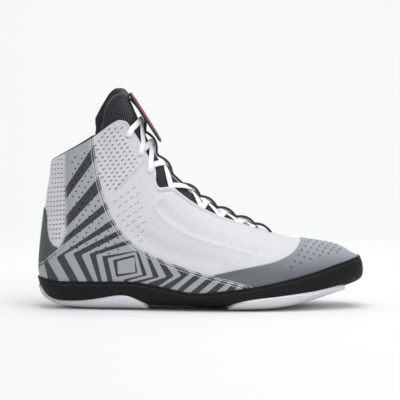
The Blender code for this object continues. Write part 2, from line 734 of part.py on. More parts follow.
def build_lacing(parts, cutters):
    """The lace's crossings on the tongue, and the webbing that keeps them there."""
    for number, crossing in enumerate(LACING, 1):
        name = f"lace_crossing_{number}"
        lace = finish(name, lace_bar(crossing, -1, 0), (0.85, 0.85, 0.86), 0.8, parts)
        if crossing.lower != crossing.upper:
            other = cutter(f"{name}_over", lace_bar(crossing, 1, LACE_OVER), cutters)
            cut(lace, other, "UNION")
    middles = [crossing.middle for crossing in LACING]
    path, outwards = [], []
    station = KEEPER_START
    while station < KEEPER_END:
        nearest = min(middles, key=lambda middle: abs(middle - station))
        away = np.linalg.norm(on_last(station, 0) - on_last(nearest, 0))
        arch = np.interp(away, [ARCH_FLAT, ARCH_FOOT], [1, 0])
        low = LACE_SEAT + WEBBING_THICKNESS / 2
        rise = 2 * LACE_THICKNESS + FIT_GAP
        path.append(off_last(station, 0, low + rise * arch**2 * (3 - 2 * arch)))
        outwards.append(facing(station, 0))
        station = along_last(station, 0, KEEPER_STEP)
    mesh = sweep(path, outwards, WEBBING_WIDTH, WEBBING_THICKNESS, sides=4)
    finish("lace_keeper", mesh, (0.02, 0.02, 0.022), 0.85, parts)


def plate(top, end, width, thickness, corner, out):
    """A flat strip with a round end, from its top to its end; out is the way it faces."""
    down = (end - top) / np.linalg.norm(end - top)
    across = np.cross(out, down)
    length = np.linalg.norm(end - top)
    outline = [(-width / 2, 0)]
    for side, centre in ((-1, corner - width / 2), (1, width / 2 - corner)):
        turns = np.linspace(0, pi / 2, 5)
        arc = [(centre + side * corner * cos(a), length - corner + corner * sin(a)) for a in turns]
        outline += arc if side < 0 else arc[::-1]
    outline.append((width / 2, 0))
    made = bmesh.new()
    face = made.faces.new([made.verts.new(top + across * a + down * b) for a, b in outline])
    drawn = bmesh.ops.extrude_face_region(made, geom=[face])
    moved = [v for v in drawn["geom"] if isinstance(v, bmesh.types.BMVert)]
    bmesh.ops.translate(made, verts=moved, vec=out * thickness)
    return to_mesh(made, "plate")


def build_cover(parts):
    """The flap that hangs from the tongue's top over the lacing, with its stripe."""
    top = off_last(COVER_STATION, 0, -UPPER_WALL)
    hang = off_last(COVER_AIM, 0, COVER_STANDS_OFF)
    down = (hang - top) / np.linalg.norm(hang - top)
    out = np.cross(down, (0, 1, 0))
    out = out / np.linalg.norm(out)
    mesh = plate(top, top + down * COVER_LENGTH, COVER_WIDTH, COVER_THICKNESS, COVER_CORNER, out)
    finish("lace_cover", mesh, (0.02, 0.02, 0.022), 0.7, parts)
    above = out * (COVER_THICKNESS + FIT_GAP)
    start = top + down * STRIPE_INSET + above
    end = top + down * (COVER_LENGTH - STRIPE_INSET) + above
    corner = STRIPE_WIDTH * COVER_CORNER / COVER_WIDTH
    mesh = plate(start, end, STRIPE_WIDTH, STRIPE_THICKNESS, corner, out)
    finish("lace_cover_stripe", mesh, (0.75, 0.03, 0.03), 0.4, parts)


def build():
    """Clears the scene and makes the shoe."""
    for thing in list(bpy.data.objects):
        bpy.data.objects.remove(thing, do_unlink=True)
    parts = bpy.data.collections.new("wrestling_shoe")
    cutters = bpy.data.collections.new("cutters")
    for collection in (parts, cutters):
        bpy.context.scene.collection.children.link(collection)
    build_upper(parts, cutters)
    build_sole(parts, cutters)
    build_overlays(parts, cutters)
    build_inside(parts)
    build_lacing(parts, cutters)
    build_cover(parts)


build()
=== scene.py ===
# %% [markdown]
# # A high-cut wrestling shoe
#
# This script dresses the plain solids of a right wrestling shoe: a white knitted upper, a
# side panel of striped film, a grey suede toe cap, a black rubber cup with two white pods,
# and a black tongue with white laces held down by webbing. The solids come in as the frame.
# Everything is in metres: +X runs to the toe, -Y to the outer side, and the floor is z = 0.

from collections import namedtuple
from math import pi

import bmesh
import bpy
import numpy as np
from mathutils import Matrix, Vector
from mathutils.kdtree import KDTree


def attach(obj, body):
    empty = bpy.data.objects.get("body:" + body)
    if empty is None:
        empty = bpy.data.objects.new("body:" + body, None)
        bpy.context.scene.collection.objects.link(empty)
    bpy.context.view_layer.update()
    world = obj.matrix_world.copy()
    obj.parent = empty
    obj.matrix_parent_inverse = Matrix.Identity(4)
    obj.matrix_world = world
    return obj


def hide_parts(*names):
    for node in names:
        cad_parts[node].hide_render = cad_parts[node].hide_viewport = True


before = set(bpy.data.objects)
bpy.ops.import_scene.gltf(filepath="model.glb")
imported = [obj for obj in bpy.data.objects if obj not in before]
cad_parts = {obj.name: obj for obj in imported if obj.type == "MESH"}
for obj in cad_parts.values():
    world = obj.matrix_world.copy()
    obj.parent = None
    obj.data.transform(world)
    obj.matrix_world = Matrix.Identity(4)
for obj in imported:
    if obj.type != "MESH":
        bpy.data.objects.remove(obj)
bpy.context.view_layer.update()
print("solids in the frame:", len(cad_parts))

# %% [markdown]
# ## The last and its sizes
#
# A shoe is pulled over a last, a block with the shape of a foot. The solids were worked out
# from a table of sections through a last, so the same table is kept here. It could be read
# back from the solids instead, but those have large faces, and the table gives the smooth
# shape at any fineness.

# %% Sizes and tables of the last
# Overall sizes
SHOE_LENGTH = 0.288
INSTEP_HEIGHT = 0.113
ANKLE_RISE = 0.0552
COLLAR_HEIGHT = 0.129
TOE_LIFT = 0.0283
SOLE_UNDER = 0.0052
BALL_WIDTH = 0.093
HEEL_WIDTH = 0.065
COLLAR_WIDTH = 0.064
THROAT_WIDTH = 0.042

# Walls and layers
UPPER_WALL = 0.0022
FIT_GAP = 0.0003
PANEL_THICKNESS = 0.0008
TOE_CAP_THICKNESS = 0.0010
RUBBER_WALL = 0.0021
INSOLE_THICKNESS = 0.0034
TONGUE_THICKNESS = 0.0042
LASTING_MARGIN = 0.012
THROAT_RIM_WIDTH = 0.0035
THROAT_RIM_HEIGHT = 0.0011
THROAT_RIM_STEP = 0.3 * THROAT_RIM_WIDTH
POD_EDGE = 0.0006
POD_FULL_UNDER = 0.67

# Lacing
LACE_WIDTH = 0.0052
LACE_THICKNESS = 0.0018
EYELET_RADIUS = 0.0023
WEBBING_WIDTH = 0.008
EYELET_SETBACK = 0.0068
LACE_SEAT = FIT_GAP - UPPER_WALL
LACE_OVER = 0.85 * LACE_THICKNESS
ARCH_FOOT = 0.0102

# The flap over the lacing, with its stripe
COVER_WIDTH = 0.034
COVER_LENGTH = 0.051
COVER_THICKNESS = 0.0026
COVER_STANDS_OFF = 0.0075
COVER_CORNER = 0.0153
STRIPE_WIDTH = 0.010
STRIPE_THICKNESS = 0.0005
STRIPE_INSET = 0.006

# The last: one row for each section, from the toe tip over the foot to the top of the tongue.
# A section is a plane through the line from a sole point to a ridge point.
# sole_x, ridge_x: share of SHOE_LENGTH from the heel; lift: share of TOE_LIFT;
# back: share of the height from the foot bed to the collar; ridge: share of INSTEP_HEIGHT;
# ankle: share of ANKLE_RISE above the instep; breadth: share of the width in the next column;
# swing, lean: sideways shift of the section and of its ridge, share of BALL_WIDTH, inwards;
# belly: where the section is broadest, from sole to ridge; sole_curve, ridge_curve: how square
# each end is, 2 being an ellipse; bow: share of ANKLE_RISE that the section arches up.
Section = namedtuple(
    "Section",
    "sole_x ridge_x lift back ridge ankle breadth width swing lean belly sole_curve ridge_curve bow",
)
LAST = [Section(*row) for row in (
    (0.991, 0.991, 1.00, 0.0, 0.298, 0.0, 0.000, BALL_WIDTH, 0.075, 0.000, 0.45, 2.3, 2.3, 0.0),
    (0.986, 0.984, 0.78, 0.0, 0.380, 0.0, 0.323, BALL_WIDTH, 0.075, 0.000, 0.45, 2.5, 2.2, 0.0),
    (0.962, 0.963, 0.66, 0.0, 0.416, 0.0, 0.538, BALL_WIDTH, 0.070, 0.005, 0.42, 2.9, 2.2, 0.0),
    (0.921, 0.927, 0.53, 0.0, 0.469, 0.0, 0.700, BALL_WIDTH, 0.060, 0.016, 0.40, 3.2, 2.2, 0.0),
    (0.866, 0.878, 0.36, 0.0, 0.503, 0.0, 0.810, BALL_WIDTH, 0.043, 0.032, 0.38, 3.6, 2.2, 0.0),
    (0.799, 0.820, 0.17, 0.0, 0.525, 0.0, 0.905, BALL_WIDTH, 0.027, 0.048, 0.36, 3.8, 2.1, 0.0),
    (0.731, 0.759, 0.05, 0.0, 0.554, 0.0, 0.973, BALL_WIDTH, 0.005, 0.059, 0.33, 4.0, 2.0, 0.0),
    (0.658, 0.689, 0.00, 0.0, 0.604, 0.0, 1.000, BALL_WIDTH, -0.011, 0.065, 0.30, 4.0, 1.95, 0.0),
    (0.585, 0.615, 0.00, 0.0, 0.681, 0.0, 0.960, BALL_WIDTH, -0.030, 0.065, 0.28, 4.0, 1.85, 0.0),
    (0.508, 0.542, 0.00, 0.0, 0.774, 0.0, 0.880, BALL_WIDTH, -0.045, 0.062, 0.26, 3.8, 1.8, 0.0),
    (0.432, 0.478, 0.00, 0.0, 0.887, 0.0, 1.130, HEEL_WIDTH, -0.052, 0.055, 0.25, 3.6, 1.8, 0.0),
    (0.347, 0.426, 0.00, 0.0, 1.000, 0.0, 1.030, HEEL_WIDTH, -0.048, 0.045, 0.25, 3.4, 1.8, 0.0),
    (0.249, 0.389, 0.00, 0.0, 1.000, 0.207, 0.990, HEEL_WIDTH, -0.032, 0.032, 0.28, 3.2, 1.85, 0.0),
    (0.151, 0.365, 0.00, 0.003, 1.000, 0.397, 0.985, HEEL_WIDTH, -0.014, 0.018, 0.34, 3.0, 1.9, 0.0),
    (0.066, 0.347, 0.00, 0.028, 1.000, 0.572, 0.995, HEEL_WIDTH, 0.000, 0.010, 0.40, 2.6, 2.0, 0.0),
    (0.023, 0.333, 0.00, 0.109, 1.000, 0.716, 0.995, HEEL_WIDTH, 0.000, 0.005, 0.44, 2.4, 2.1, 0.012),
    (0.010, 0.324, 0.00, 0.258, 1.000, 0.812, 0.975, HEEL_WIDTH, 0.000, 0.000, 0.46, 2.3, 2.2, 0.028),
    (0.018, 0.318, 0.00, 0.493, 1.000, 0.891, 0.960, COLLAR_WIDTH, 0.000, 0.000, 0.48, 2.2, 2.2, 0.046),
    (0.031, 0.313, 0.00, 0.741, 1.000, 0.951, 0.955, COLLAR_WIDTH, 0.000, 0.000, 0.50, 2.1, 2.2, 0.062),
    (0.046, 0.310, 0.00, 1.000, 1.000, 1.000, 0.985, COLLAR_WIDTH, 0.000, 0.000, 0.52, 2.1, 2.2, 0.072),
    (0.063, 0.300, 0.00, 1.146, 1.000, 1.176, 1.030, COLLAR_WIDTH, 0.000, 0.000, 0.52, 2.1, 2.2, 0.075),
    (0.081, 0.292, 0.00, 1.288, 1.000, 1.319, 1.080, COLLAR_WIDTH, 0.000, 0.000, 0.52, 2.1, 2.2, 0.075),
    (0.102, 0.286, 0.00, 1.409, 1.000, 1.462, 1.130, COLLAR_WIDTH, 0.000, 0.000, 0.52, 2.1, 2.2, 0.075),
)]

# The throat: half its width at stations of the last, as a share of half THROAT_WIDTH
Throat = namedtuple("Throat", "station half")
THROAT = [Throat(*row) for row in (
    (6.6, 0.26), (7.0, 0.33), (8.0, 0.47), (8.9, 0.64), (10.0, 0.73), (11.0, 0.70), (11.4, 0.95),
    (11.8, 1.27), (12.1, 1.20), (12.4, 0.79), (12.9, 0.71), (13.9, 0.75), (15.7, 0.84),
    (17.4, 0.99), (18.4, 1.10), (18.75, 1.26), (19.0, 1.58),
)]

# Outlines on the side of the shoe: share of SHOE_LENGTH from the heel, and share of
# INSTEP_HEIGHT from the floor. They are joined by smooth curves between corners.
Spot = namedtuple("Spot", "along up")


def through(*spots):
    """The spots that an outline runs through."""
    return [Spot(*spot) for spot in spots]


RUBBER_TOP = through(
    (-0.060, 0.264), (0.012, 0.252), (0.045, 0.236), (0.100, 0.226), (0.247, 0.229),
    (0.320, 0.220), (0.393, 0.186), (0.446, 0.158), (0.498, 0.147), (0.560, 0.160), (0.659, 0.191),
    (0.768, 0.249), (0.847, 0.301), (0.900, 0.344), (0.946, 0.374), (0.983, 0.392), (1.060, 0.415),
)
HEEL_POD_TOP = through(
    (-0.050, 0.240), (0.012, 0.205), (0.040, 0.118), (0.075, 0.084), (0.129, 0.085),
    (0.189, 0.103), (0.245, 0.126), (0.285, 0.124), (0.320, 0.092), (0.347, 0.050),
    (0.365, -0.030),
)
FOREFOOT_POD_TOP = through(
    (0.545, -0.040), (0.560, 0.010), (0.585, 0.055), (0.632, 0.098), (0.728, 0.126),
    (0.842, 0.166), (0.917, 0.205), (0.938, 0.195),
)
PANEL_FRONT = through(
    (0.180, 1.500), (0.182, 1.290), (0.196, 1.030), (0.224, 0.785), (0.262, 0.607), (0.325, 0.467),
    (0.419, 0.360), (0.526, 0.276), (0.616, 0.216), (0.690, 0.160),
)
PANEL_BACK = through(
    (-0.030, 0.345), (0.010, 0.354), (0.035, 0.390), (0.060, 0.447), (0.080, 0.495),
    (0.093, 0.560), (0.098, 0.650), (0.097, 0.840), (0.095, 1.020), (0.095, 1.180), (0.096, 1.340),
)
COUNTER_FRONT = through(
    (-0.040, 0.810), (0.000, 0.806), (0.028, 0.780), (0.036, 0.705), (0.039, 0.620),
    (0.046, 0.542), (0.058, 0.497), (0.072, 0.484),
)
TOE_CAP_BACK = through(
    (0.534, 0.276), (0.605, 0.317), (0.665, 0.345), (0.720, 0.374), (0.772, 0.430), (0.801, 0.507),
    (0.826, 0.610),
)

# The tongue above the collar: its width as a share of its width at the collar
Wing = namedtuple("Wing", "station width")
WINGS = [Wing(*row) for row in (
    (19.0, 1.00), (19.4, 0.93), (20.0, 0.90), (20.5, 0.79), (20.9, 0.66), (21.2, 0.50),
    (21.35, 0.34),
)]

# The lace's crossings: the stations where its two bars leave the throat's edge, cross on the
# tongue and reach the edge again. The first one is a single bar, straight across.
Crossing = namedtuple("Crossing", "lower middle upper")
LACING = [Crossing(*row) for row in (
    (7.3, 7.0, 7.3), (7.3, 7.7, 7.95), (7.95, 8.5, 8.7), (8.7, 9.3, 9.5), (9.5, 10.1, 11.1),
    (11.1, 12.0, 12.8), (12.8, 14.0, 14.2), (14.5, 17.5, 16.7),
)]

# %% [markdown]
# ## The last as a fine net
#
# Every layer of the shoe is a patch of one surface, so the surface is worked out once, as a
# fine net of points with the direction that faces outwards at each. Any place on it has a
# station, which counts the sections from the toe to the collar, and a turn, which is 0 on
# the ridge over the foot and -1 or 1 under the sole, minus on the outer side.


# %% The net
NET_STEP = 0.05
NET_TURNS = 240
TIP_ROWS = 2
Net = namedtuple("Net", "stations points facing girths path breadths")


def spline(values, round_start=False):
    """A smooth curve through values at 0, 1, 2 and so on; round_start gives it no slope there."""
    count = len(values)
    matrix = np.zeros((count, count))
    right = np.zeros(count)
    for i in range(1, count - 1):
        matrix[i, i - 1 : i + 2] = (1, 4, 1)
        right[i] = 6 * (values[i + 1] - 2 * values[i] + values[i - 1])
    matrix[0, 0] = matrix[-1, -1] = 1
    if round_start:
        matrix[0, :2] = (2, 1)
        right[0] = 6 * (values[1] - values[0])
    bend = np.linalg.solve(matrix, right)
    values = np.array(values)

    def curve(at):
        at = np.clip(at, 0, count - 1.000001)
        i = at.astype(int)
        t = at - i
        start = values[i] * (1 - t) + bend[i] * ((1 - t) ** 3 - (1 - t)) / 6
        return start + values[i + 1] * t + bend[i + 1] * (t**3 - t) / 6

    return curve


def make_net():
    """Works the sections out at every station of the net."""
    column = {name: np.array([getattr(s, name) for s in LAST]) for name in Section._fields}
    sole_x = (column["sole_x"] - 0.5) * SHOE_LENGTH
    ridge_x = (column["ridge_x"] - 0.5) * SHOE_LENGTH
    sole_z = SOLE_UNDER + column["lift"] * TOE_LIFT + column["back"] * (COLLAR_HEIGHT - SOLE_UNDER)
    ridge_z = column["ridge"] * INSTEP_HEIGHT + column["ankle"] * ANKLE_RISE
    sole_z[0] = ridge_z[0] = (sole_z[0] + ridge_z[0]) / 2
    stations = np.arange(0, len(LAST) - 1 + NET_STEP / 2, NET_STEP)

    def at(values, round_start=True):
        return spline(values, round_start)(stations)[:, None]

    middle_x, middle_z = at((sole_x + ridge_x) / 2), at((sole_z + ridge_z) / 2)
    half_x, half_z = at((ridge_x - sole_x) / 2, False), at((ridge_z - sole_z) / 2, False)
    half_breadth = at(column["breadth"] * column["width"] / 2, False)
    swing, lean = at(column["swing"] * BALL_WIDTH), at(column["lean"] * BALL_WIDTH)
    belly, bow = at(column["belly"]), at(column["bow"] * ANKLE_RISE)
    angle = np.linspace(0, pi, NET_TURNS + 1)[None]
    above = np.cos(angle) >= 0
    power = 2 / np.where(above, at(column["ridge_curve"]), at(column["sole_curve"]))
    up = belly + np.where(above, 1 - belly, -belly) * np.abs(np.cos(angle)) ** power
    out = half_breadth * np.abs(np.sin(angle)) ** power
    length = np.hypot(2 * half_x, 2 * half_z) + 1e-9
    arch = bow * np.abs(np.sin(pi * np.clip(up, 0, 1) ** 3)) ** 1.5
    x = middle_x - half_x + 2 * half_x * up - 2 * half_z / length * arch
    z = middle_z - half_z + 2 * half_z * up + 2 * half_x / length * arch
    share = np.linspace(0, 1, NET_TURNS + 1)
    halves, girths = [], []
    for side in (-1, 1):
        section = np.stack([x, swing + lean * up + side * out, z], -1)
        steps = np.linalg.norm(np.diff(section, axis=1), axis=2)
        arcs = np.concatenate([np.zeros((len(stations), 1)), np.cumsum(steps, axis=1)], 1)
        even = [
            [np.interp(share * arc[-1], arc, row[:, axis]) for axis in range(3)]
            for arc, row in zip(arcs, section)
        ]
        halves.append(np.array(even).transpose(0, 2, 1))
        girths.append(np.maximum(arcs[:, -1], 1e-5))
    points = np.concatenate([halves[0][:, ::-1], halves[1][:, 1:]], 1)
    ring = np.concatenate([points[:, -2:-1], points, points[:, 1:2]], 1)
    facing = np.cross(ring[:, 2:] - ring[:, :-2], np.gradient(points, axis=0))
    facing /= np.maximum(np.linalg.norm(facing, axis=2, keepdims=True), 1e-12)
    tip = facing[TIP_ROWS, ::40].mean(axis=0)
    facing[:TIP_ROWS] = tip / np.linalg.norm(tip)
    moves = np.linalg.norm(np.diff(points, axis=0), axis=2).mean(axis=1)
    path = np.concatenate([[0], np.cumsum(moves)])
    return Net(stations, points, facing, girths, path, half_breadth[:, 0])


NET = make_net()
print("net of the last:", NET.points.shape[:2])


# %% Reading the net
def read_net(table, station, turn):
    """The values of a table of the net at any places."""
    turn = (np.asarray(turn) + 1) % 2
    row = np.clip(np.asarray(station) / NET_STEP, 0, len(NET.stations) - 1.00001)
    column = np.clip(turn * NET_TURNS, 0, 2 * NET_TURNS - 0.00001)
    i, j = row.astype(int), column.astype(int)
    a, b = (row - i)[..., None], (column - j)[..., None]
    low = table[i, j] * (1 - b) + table[i, j + 1] * b
    return low * (1 - a) + (table[i + 1, j] * (1 - b) + table[i + 1, j + 1] * b) * a


def on_last(station, turn, offset=0.0):
    """Points of the last, moved out by offset."""
    offset = np.asarray(offset)[..., None]
    return read_net(NET.points, station, turn) + offset * facing_at(station, turn)


def facing_at(station, turn):
    """The direction that faces outwards."""
    facing = read_net(NET.facing, station, turn)
    return facing / np.maximum(np.linalg.norm(facing, axis=-1, keepdims=True), 1e-9)


def girth(station, side):
    """How long half a section is, from ridge to sole."""
    outer, inner = (np.interp(station, NET.stations, girths) for girths in NET.girths)
    return np.where(np.asarray(side) < 0, outer, inner)


def even_stations(start, end, step):
    """Stations that lie about step metres apart."""
    first, final = np.interp([start, end], NET.stations, NET.path)
    count = max(int((final - first) / step), 1)
    return np.interp(np.linspace(first, final, count + 1), NET.path, NET.stations)


COLLAR_STATION = 19
TONGUE_START = 6
INSOLE_START = 1
INSOLE_END = 14.5
EYELETS = [12.8, 14.2, 16.7]
THROAT_SOFTENING = (-0.12, -0.06, 0, 0.06, 0.12)
THROAT_TIP = 6.45
THROAT_TIP_REACH = 0.35


def quarter_round(share):
    """Rises from 0 to 1 like a quarter of a circle, as share goes from 0 to 1."""
    return np.sqrt(1 - (1 - np.clip(share, 0, 1)) ** 2)


def throat_edge(station, side):
    """The turn at which the throat's edge cuts a section, and 0 in front of the throat."""
    stations, halves = np.array(THROAT).T
    spread = sum(np.interp(station + shift, stations, halves) for shift in THROAT_SOFTENING)
    half = spread / len(THROAT_SOFTENING) * quarter_round((station - THROAT_TIP) / THROAT_TIP_REACH)
    return side * half * THROAT_WIDTH / 2 / girth(station, side)


# %% [markdown]
# ## Patches
#
# A panel of a shoe is cut flat and stitched on. Here a panel is a patch of the last's
# surface, cut along its outline. A Boolean could cut it, as it did for the solids, but
# cutting the faces of a fine patch along a field of distances gives a clean edge and keeps
# the faces even. The same distances then round the edge off and lay out the stitches.


# %% Patches and outlines
class Patch:
    """A net of faces on the last. Each point has a station, a turn and any named fields."""

    def __init__(self, stations, turns):
        rows, columns = turns.shape
        self.data = {"station": np.repeat(stations, columns), "turn": turns.ravel()}
        corner = np.arange(rows * columns).reshape(rows, columns)
        quads = [corner[:-1, :-1], corner[:-1, 1:], corner[1:, 1:], corner[1:, :-1]]
        self.faces = [tuple(q) for q in np.stack(quads, -1).reshape(-1, 4).tolist()]

    @property
    def place(self):
        """The station and the turn of each point."""
        return self.data["station"], self.data["turn"]

    def points(self, offset=0.0):
        """The points, moved out from the last by offset."""
        return on_last(*self.place, offset)

    def cut(self, field, level, keep_rest=False):
        """Cuts the faces where field has this level, and drops what lies below it."""
        value = self.data[field] - level
        value = np.where(np.abs(value) < 1e-9, 1e-9, value)
        above = (value > 0).tolist()
        made, ends, faces = {}, [], []
        for face in self.faces:
            inside = sum(above[i] for i in face)
            if inside in (0, len(face)):
                if inside or keep_rest:
                    faces.append(face)
                continue
            high, low = [], []
            for a, b in zip(face, face[1:] + face[:1]):
                (high if above[a] else low).append(a)
                if above[a] != above[b]:
                    key = (min(a, b), max(a, b))
                    if key not in made:
                        made[key] = len(value) + len(ends)
                        ends.append(key)
                    high.append(made[key])
                    low.append(made[key])
            faces.append(tuple(high))
            if keep_rest:
                faces.append(tuple(low))
        if ends:
            a, b = np.array(ends).T
            share = value[a] / (value[a] - value[b])
            for name, old in self.data.items():
                self.data[name] = np.concatenate([old, old[a] + (old[b] - old[a]) * share])
        self.faces = faces


def in_metres(places):
    """Side-view places (x, z) in metres, from shares of SHOE_LENGTH and INSTEP_HEIGHT."""
    return (np.array(places) - (0.5, 0)) * (SHOE_LENGTH, INSTEP_HEIGHT)


def spots_line(spots, steps=8, raised=0.0):
    """A smooth side-view line through spots, as points (x, z) in metres."""
    along, up = (spline(column) for column in in_metres(np.array(spots) + (0, raised)).T)
    at = np.arange((len(spots) - 1) * steps + 1) / steps
    return np.stack([along(at), up(at)], 1)


def distance_to(line, x, z):
    """How far each point is from a side-view line."""
    nearest = np.full(x.shape, 1.0)
    for (x0, z0), (x1, z1) in zip(line[:-1], line[1:]):
        run_x, run_z = x1 - x0, z1 - z0
        share = ((x - x0) * run_x + (z - z0) * run_z) / (run_x**2 + run_z**2 + 1e-15)
        share = np.clip(share, 0, 1)
        nearest = np.minimum(nearest, np.hypot(x - x0 - share * run_x, z - z0 - share * run_z))
    return nearest


def depth_inside(outline, x, z):
    """How far each point lies inside a closed side-view outline; outside, it is negative."""
    ring = np.concatenate([outline, outline[:1]])
    crossed = np.zeros(x.shape, bool)
    for (x0, z0), (x1, z1) in zip(ring[:-1], ring[1:]):
        if z0 != z1:
            spans = (z0 > z) != (z1 > z)
            crossed ^= spans & (x < x0 + (z - z0) * (x1 - x0) / (z1 - z0))
    return np.where(crossed, 1, -1) * distance_to(ring, x, z)


def height_on(line, x):
    """The height of a side-view line at x."""
    return np.interp(x, line[:, 0], line[:, 1])


# %% Meshes from patches
CREASE = 50
WELD_REACH = 0.000004


def new_object(name, data):
    """An object in the scene."""
    made = bpy.data.objects.new(name, data)
    bpy.context.scene.collection.objects.link(made)
    return made


def make_piece(name, points, faces, material, fields, nodes):
    """Turns points and faces into a smooth mesh object that replaces nodes of the frame."""
    used = np.unique([i for face in faces for i in face])
    number = {int(old): new for new, old in enumerate(used)}
    mesh = bpy.data.meshes.new(name)
    mesh.from_pydata(points[used].tolist(), [], [[number[i] for i in face] for face in faces])
    set_fields(mesh, {field: values[used] for field, values in fields.items()})
    piece = new_object(name, mesh)
    weld(mesh)
    mesh.materials.append(material)
    mesh.shade_smooth()
    mesh.set_sharp_from_angle(angle=np.radians(CREASE))
    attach(piece, "root")
    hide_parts(*nodes)
    return piece


def set_fields(mesh, fields):
    """Stores a number or a vector for each point of a mesh."""
    for field, values in fields.items():
        kind, slot = ("FLOAT", "value") if values.ndim == 1 else ("FLOAT_VECTOR", "vector")
        mesh.attributes.new(field, kind, "POINT")
        mesh.attributes[field].data.foreach_set(slot, values.ravel().astype(np.float32))


def weld(mesh):
    """Joins the points that lie in one place."""
    made = bmesh.new()
    made.from_mesh(mesh)
    bmesh.ops.remove_doubles(made, verts=made.verts, dist=WELD_REACH)
    made.to_mesh(mesh)
    made.free()


def cloth_places(station, turn):
    """Places measured over the surface in millimetres: round from the ridge, and lengthwise."""
    side = np.where(turn < 0, girth(station, -1), girth(station, 1))
    lengthwise = np.interp(station, NET.stations, NET.path)
    return np.stack([turn * side * 1000, lengthwise * 1000, np.zeros_like(turn)], -1)


def join(pieces):
    """Puts lists of points, faces and fields together."""
    points, faces, fields = [], [], {}
    for some_points, some_faces, some_fields in pieces:
        start = sum(len(p) for p in points)
        points.append(some_points)
        faces += [tuple(i + start for i in face) for face in some_faces]
        for name, values in some_fields.items():
            fields.setdefault(name, []).append(values)
    return np.concatenate(points), faces, {n: np.concatenate(v) for n, v in fields.items()}


# %% [markdown]
# ## Materials
#
# Each finish is a small tree of nodes. One helper adds a node with its settings and links,
# so that a material reads as a list of what it is made of. Patterns that follow the cloth
# read the attribute "cloth", in millimetres along the surface, and the others read Object
# coordinates, which are metres here.


# %% Helpers for materials
def linear(colour):
    """An sRGB hex colour in Blender's linear numbers."""
    parts = [int(colour[i : i + 2], 16) / 255 for i in (1, 3, 5)]
    return [p / 12.92 if p <= 0.04045 else ((p + 0.055) / 1.055) ** 2.4 for p in parts] + [1.0]


def add(tree, kind, inputs=None, **settings):
    """Adds a node. A socket in inputs is linked, and anything else is set on the input."""
    made = tree.nodes.new(kind)
    for name, value in settings.items():
        setattr(made, name, value)
    for name, value in (inputs or {}).items():
        if isinstance(value, bpy.types.NodeSocket):
            tree.links.new(value, made.inputs[name])
        else:
            made.inputs[name].default_value = value
    return made


def new_material(name, colour, roughness, sheen=0.0):
    """A material with its colour, roughness and sheen set on the shader."""
    material = bpy.data.materials.new(name)
    material.use_nodes = True
    tree = material.node_tree
    shader = tree.nodes["Principled BSDF"]
    shader.inputs["Base Color"].default_value = linear(colour)
    shader.inputs["Roughness"].default_value = roughness
    shader.inputs["Sheen Weight"].default_value = sheen
    return material, tree, shader


def read(tree, attribute):
    """The node that reads a piece's attribute."""
    return add(tree, "ShaderNodeAttribute", attribute_name=attribute)


def maths(tree, operation, *values):
    """The result of one sum."""
    inputs = dict(enumerate(values))
    return add(tree, "ShaderNodeMath", inputs, operation=operation).outputs[0]


def weigh(tree, first, weight, second, other_weight):
    """The sum of two values, each times its weight."""
    return maths(tree, "MULTIPLY_ADD", first, weight, maths(tree, "MULTIPLY", second, other_weight))


def waves(tree, place, direction, period):
    """A wave from 0 to 1 along a direction, with its period in the units of place."""
    scaled = [d * 2 * pi / period / np.linalg.norm(direction) for d in direction]
    phase = add(tree, "ShaderNodeVectorMath", {0: place, 1: scaled}, operation="DOT_PRODUCT")
    wave = maths(tree, "SINE", phase.outputs["Value"])
    return maths(tree, "MULTIPLY_ADD", wave, 0.5, 0.5)


def speckle(tree, place, scale, low=0.0, high=1.0):
    """Fine noise, spread from low to high."""
    noise = add(tree, "ShaderNodeTexNoise", {"Vector": place, "Scale": scale, "Detail": 4.0})
    spread = add(tree, "ShaderNodeMapRange", {"Value": noise.outputs[0], 3: low, 4: high})
    return spread.outputs[0]


def blend(tree, share, first, second):
    """A mix of two colours, each a hex colour or a socket."""
    mix = add(tree, "ShaderNodeMix", data_type="RGBA")
    for socket, value in ((mix.inputs[0], share), (mix.inputs[6], first), (mix.inputs[7], second)):
        if isinstance(value, bpy.types.NodeSocket):
            tree.links.new(value, socket)
        else:
            socket.default_value = linear(value) if isinstance(value, str) else value
    return mix.outputs[2]


def paint(tree, shader, colour, roughness=None):
    """Links a colour, and a roughness where one is given, to the shader."""
    tree.links.new(colour, shader.inputs["Base Color"])
    if roughness is not None:
        tree.links.new(roughness, shader.inputs["Roughness"])


def bump(tree, shader, height, depth, below=None):
    """Raises the surface by height times depth, in metres, on top of a bump below."""
    inputs = {"Height": height, "Distance": depth, "Strength": 1.0}
    if below is not None:
        inputs["Normal"] = below
    made = add(tree, "ShaderNodeBump", inputs)
    tree.links.new(made.outputs[0], shader.inputs["Normal"])
    return made.outputs[0]


def object_place(tree):
    """Object coordinates."""
    return add(tree, "ShaderNodeTexCoord").outputs["Object"]


# %% [markdown]
# ### The knit
#
# The upper is one piece of white knit. Fine ribs run slantwise over it, about a millimetre
# apart, and the yarn makes its grain. Both could be modelled, but they are lower than a
# fifth of a millimetre, so a bump over the cloth's own measure is enough. The colour darkens
# a little between the ribs, as it does where a yarn shades its neighbour.


# %% Knit
def knit_material():
    material, tree, shader = new_material("white_polyester_knit", "#EDEDF2", 0.88, 0.25)
    place = read(tree, "cloth").outputs["Vector"]
    ribs = waves(tree, place, (-0.77, 0.64, 0), 1.15)
    yarn = waves(tree, place, (0.64, 0.77, 0), 0.8)
    grain = speckle(tree, object_place(tree), 900)
    mesh_zone = read(tree, "mesh_zone").outputs["Fac"]
    height = maths(tree, "MULTIPLY_ADD", grain, 0.5, weigh(tree, ribs, 0.7, yarn, 0.3))
    shade = weigh(tree, ribs, 0.25, grain, 0.75)
    colour = blend(tree, shade, "#C4C4CA", "#E3E3E7")
    paint(tree, shader, blend(tree, maths(tree, "MULTIPLY", mesh_zone, 0.35), colour, "#D6D6DD"))
    bump(tree, shader, height, 0.00020)
    return material


KNIT = knit_material()

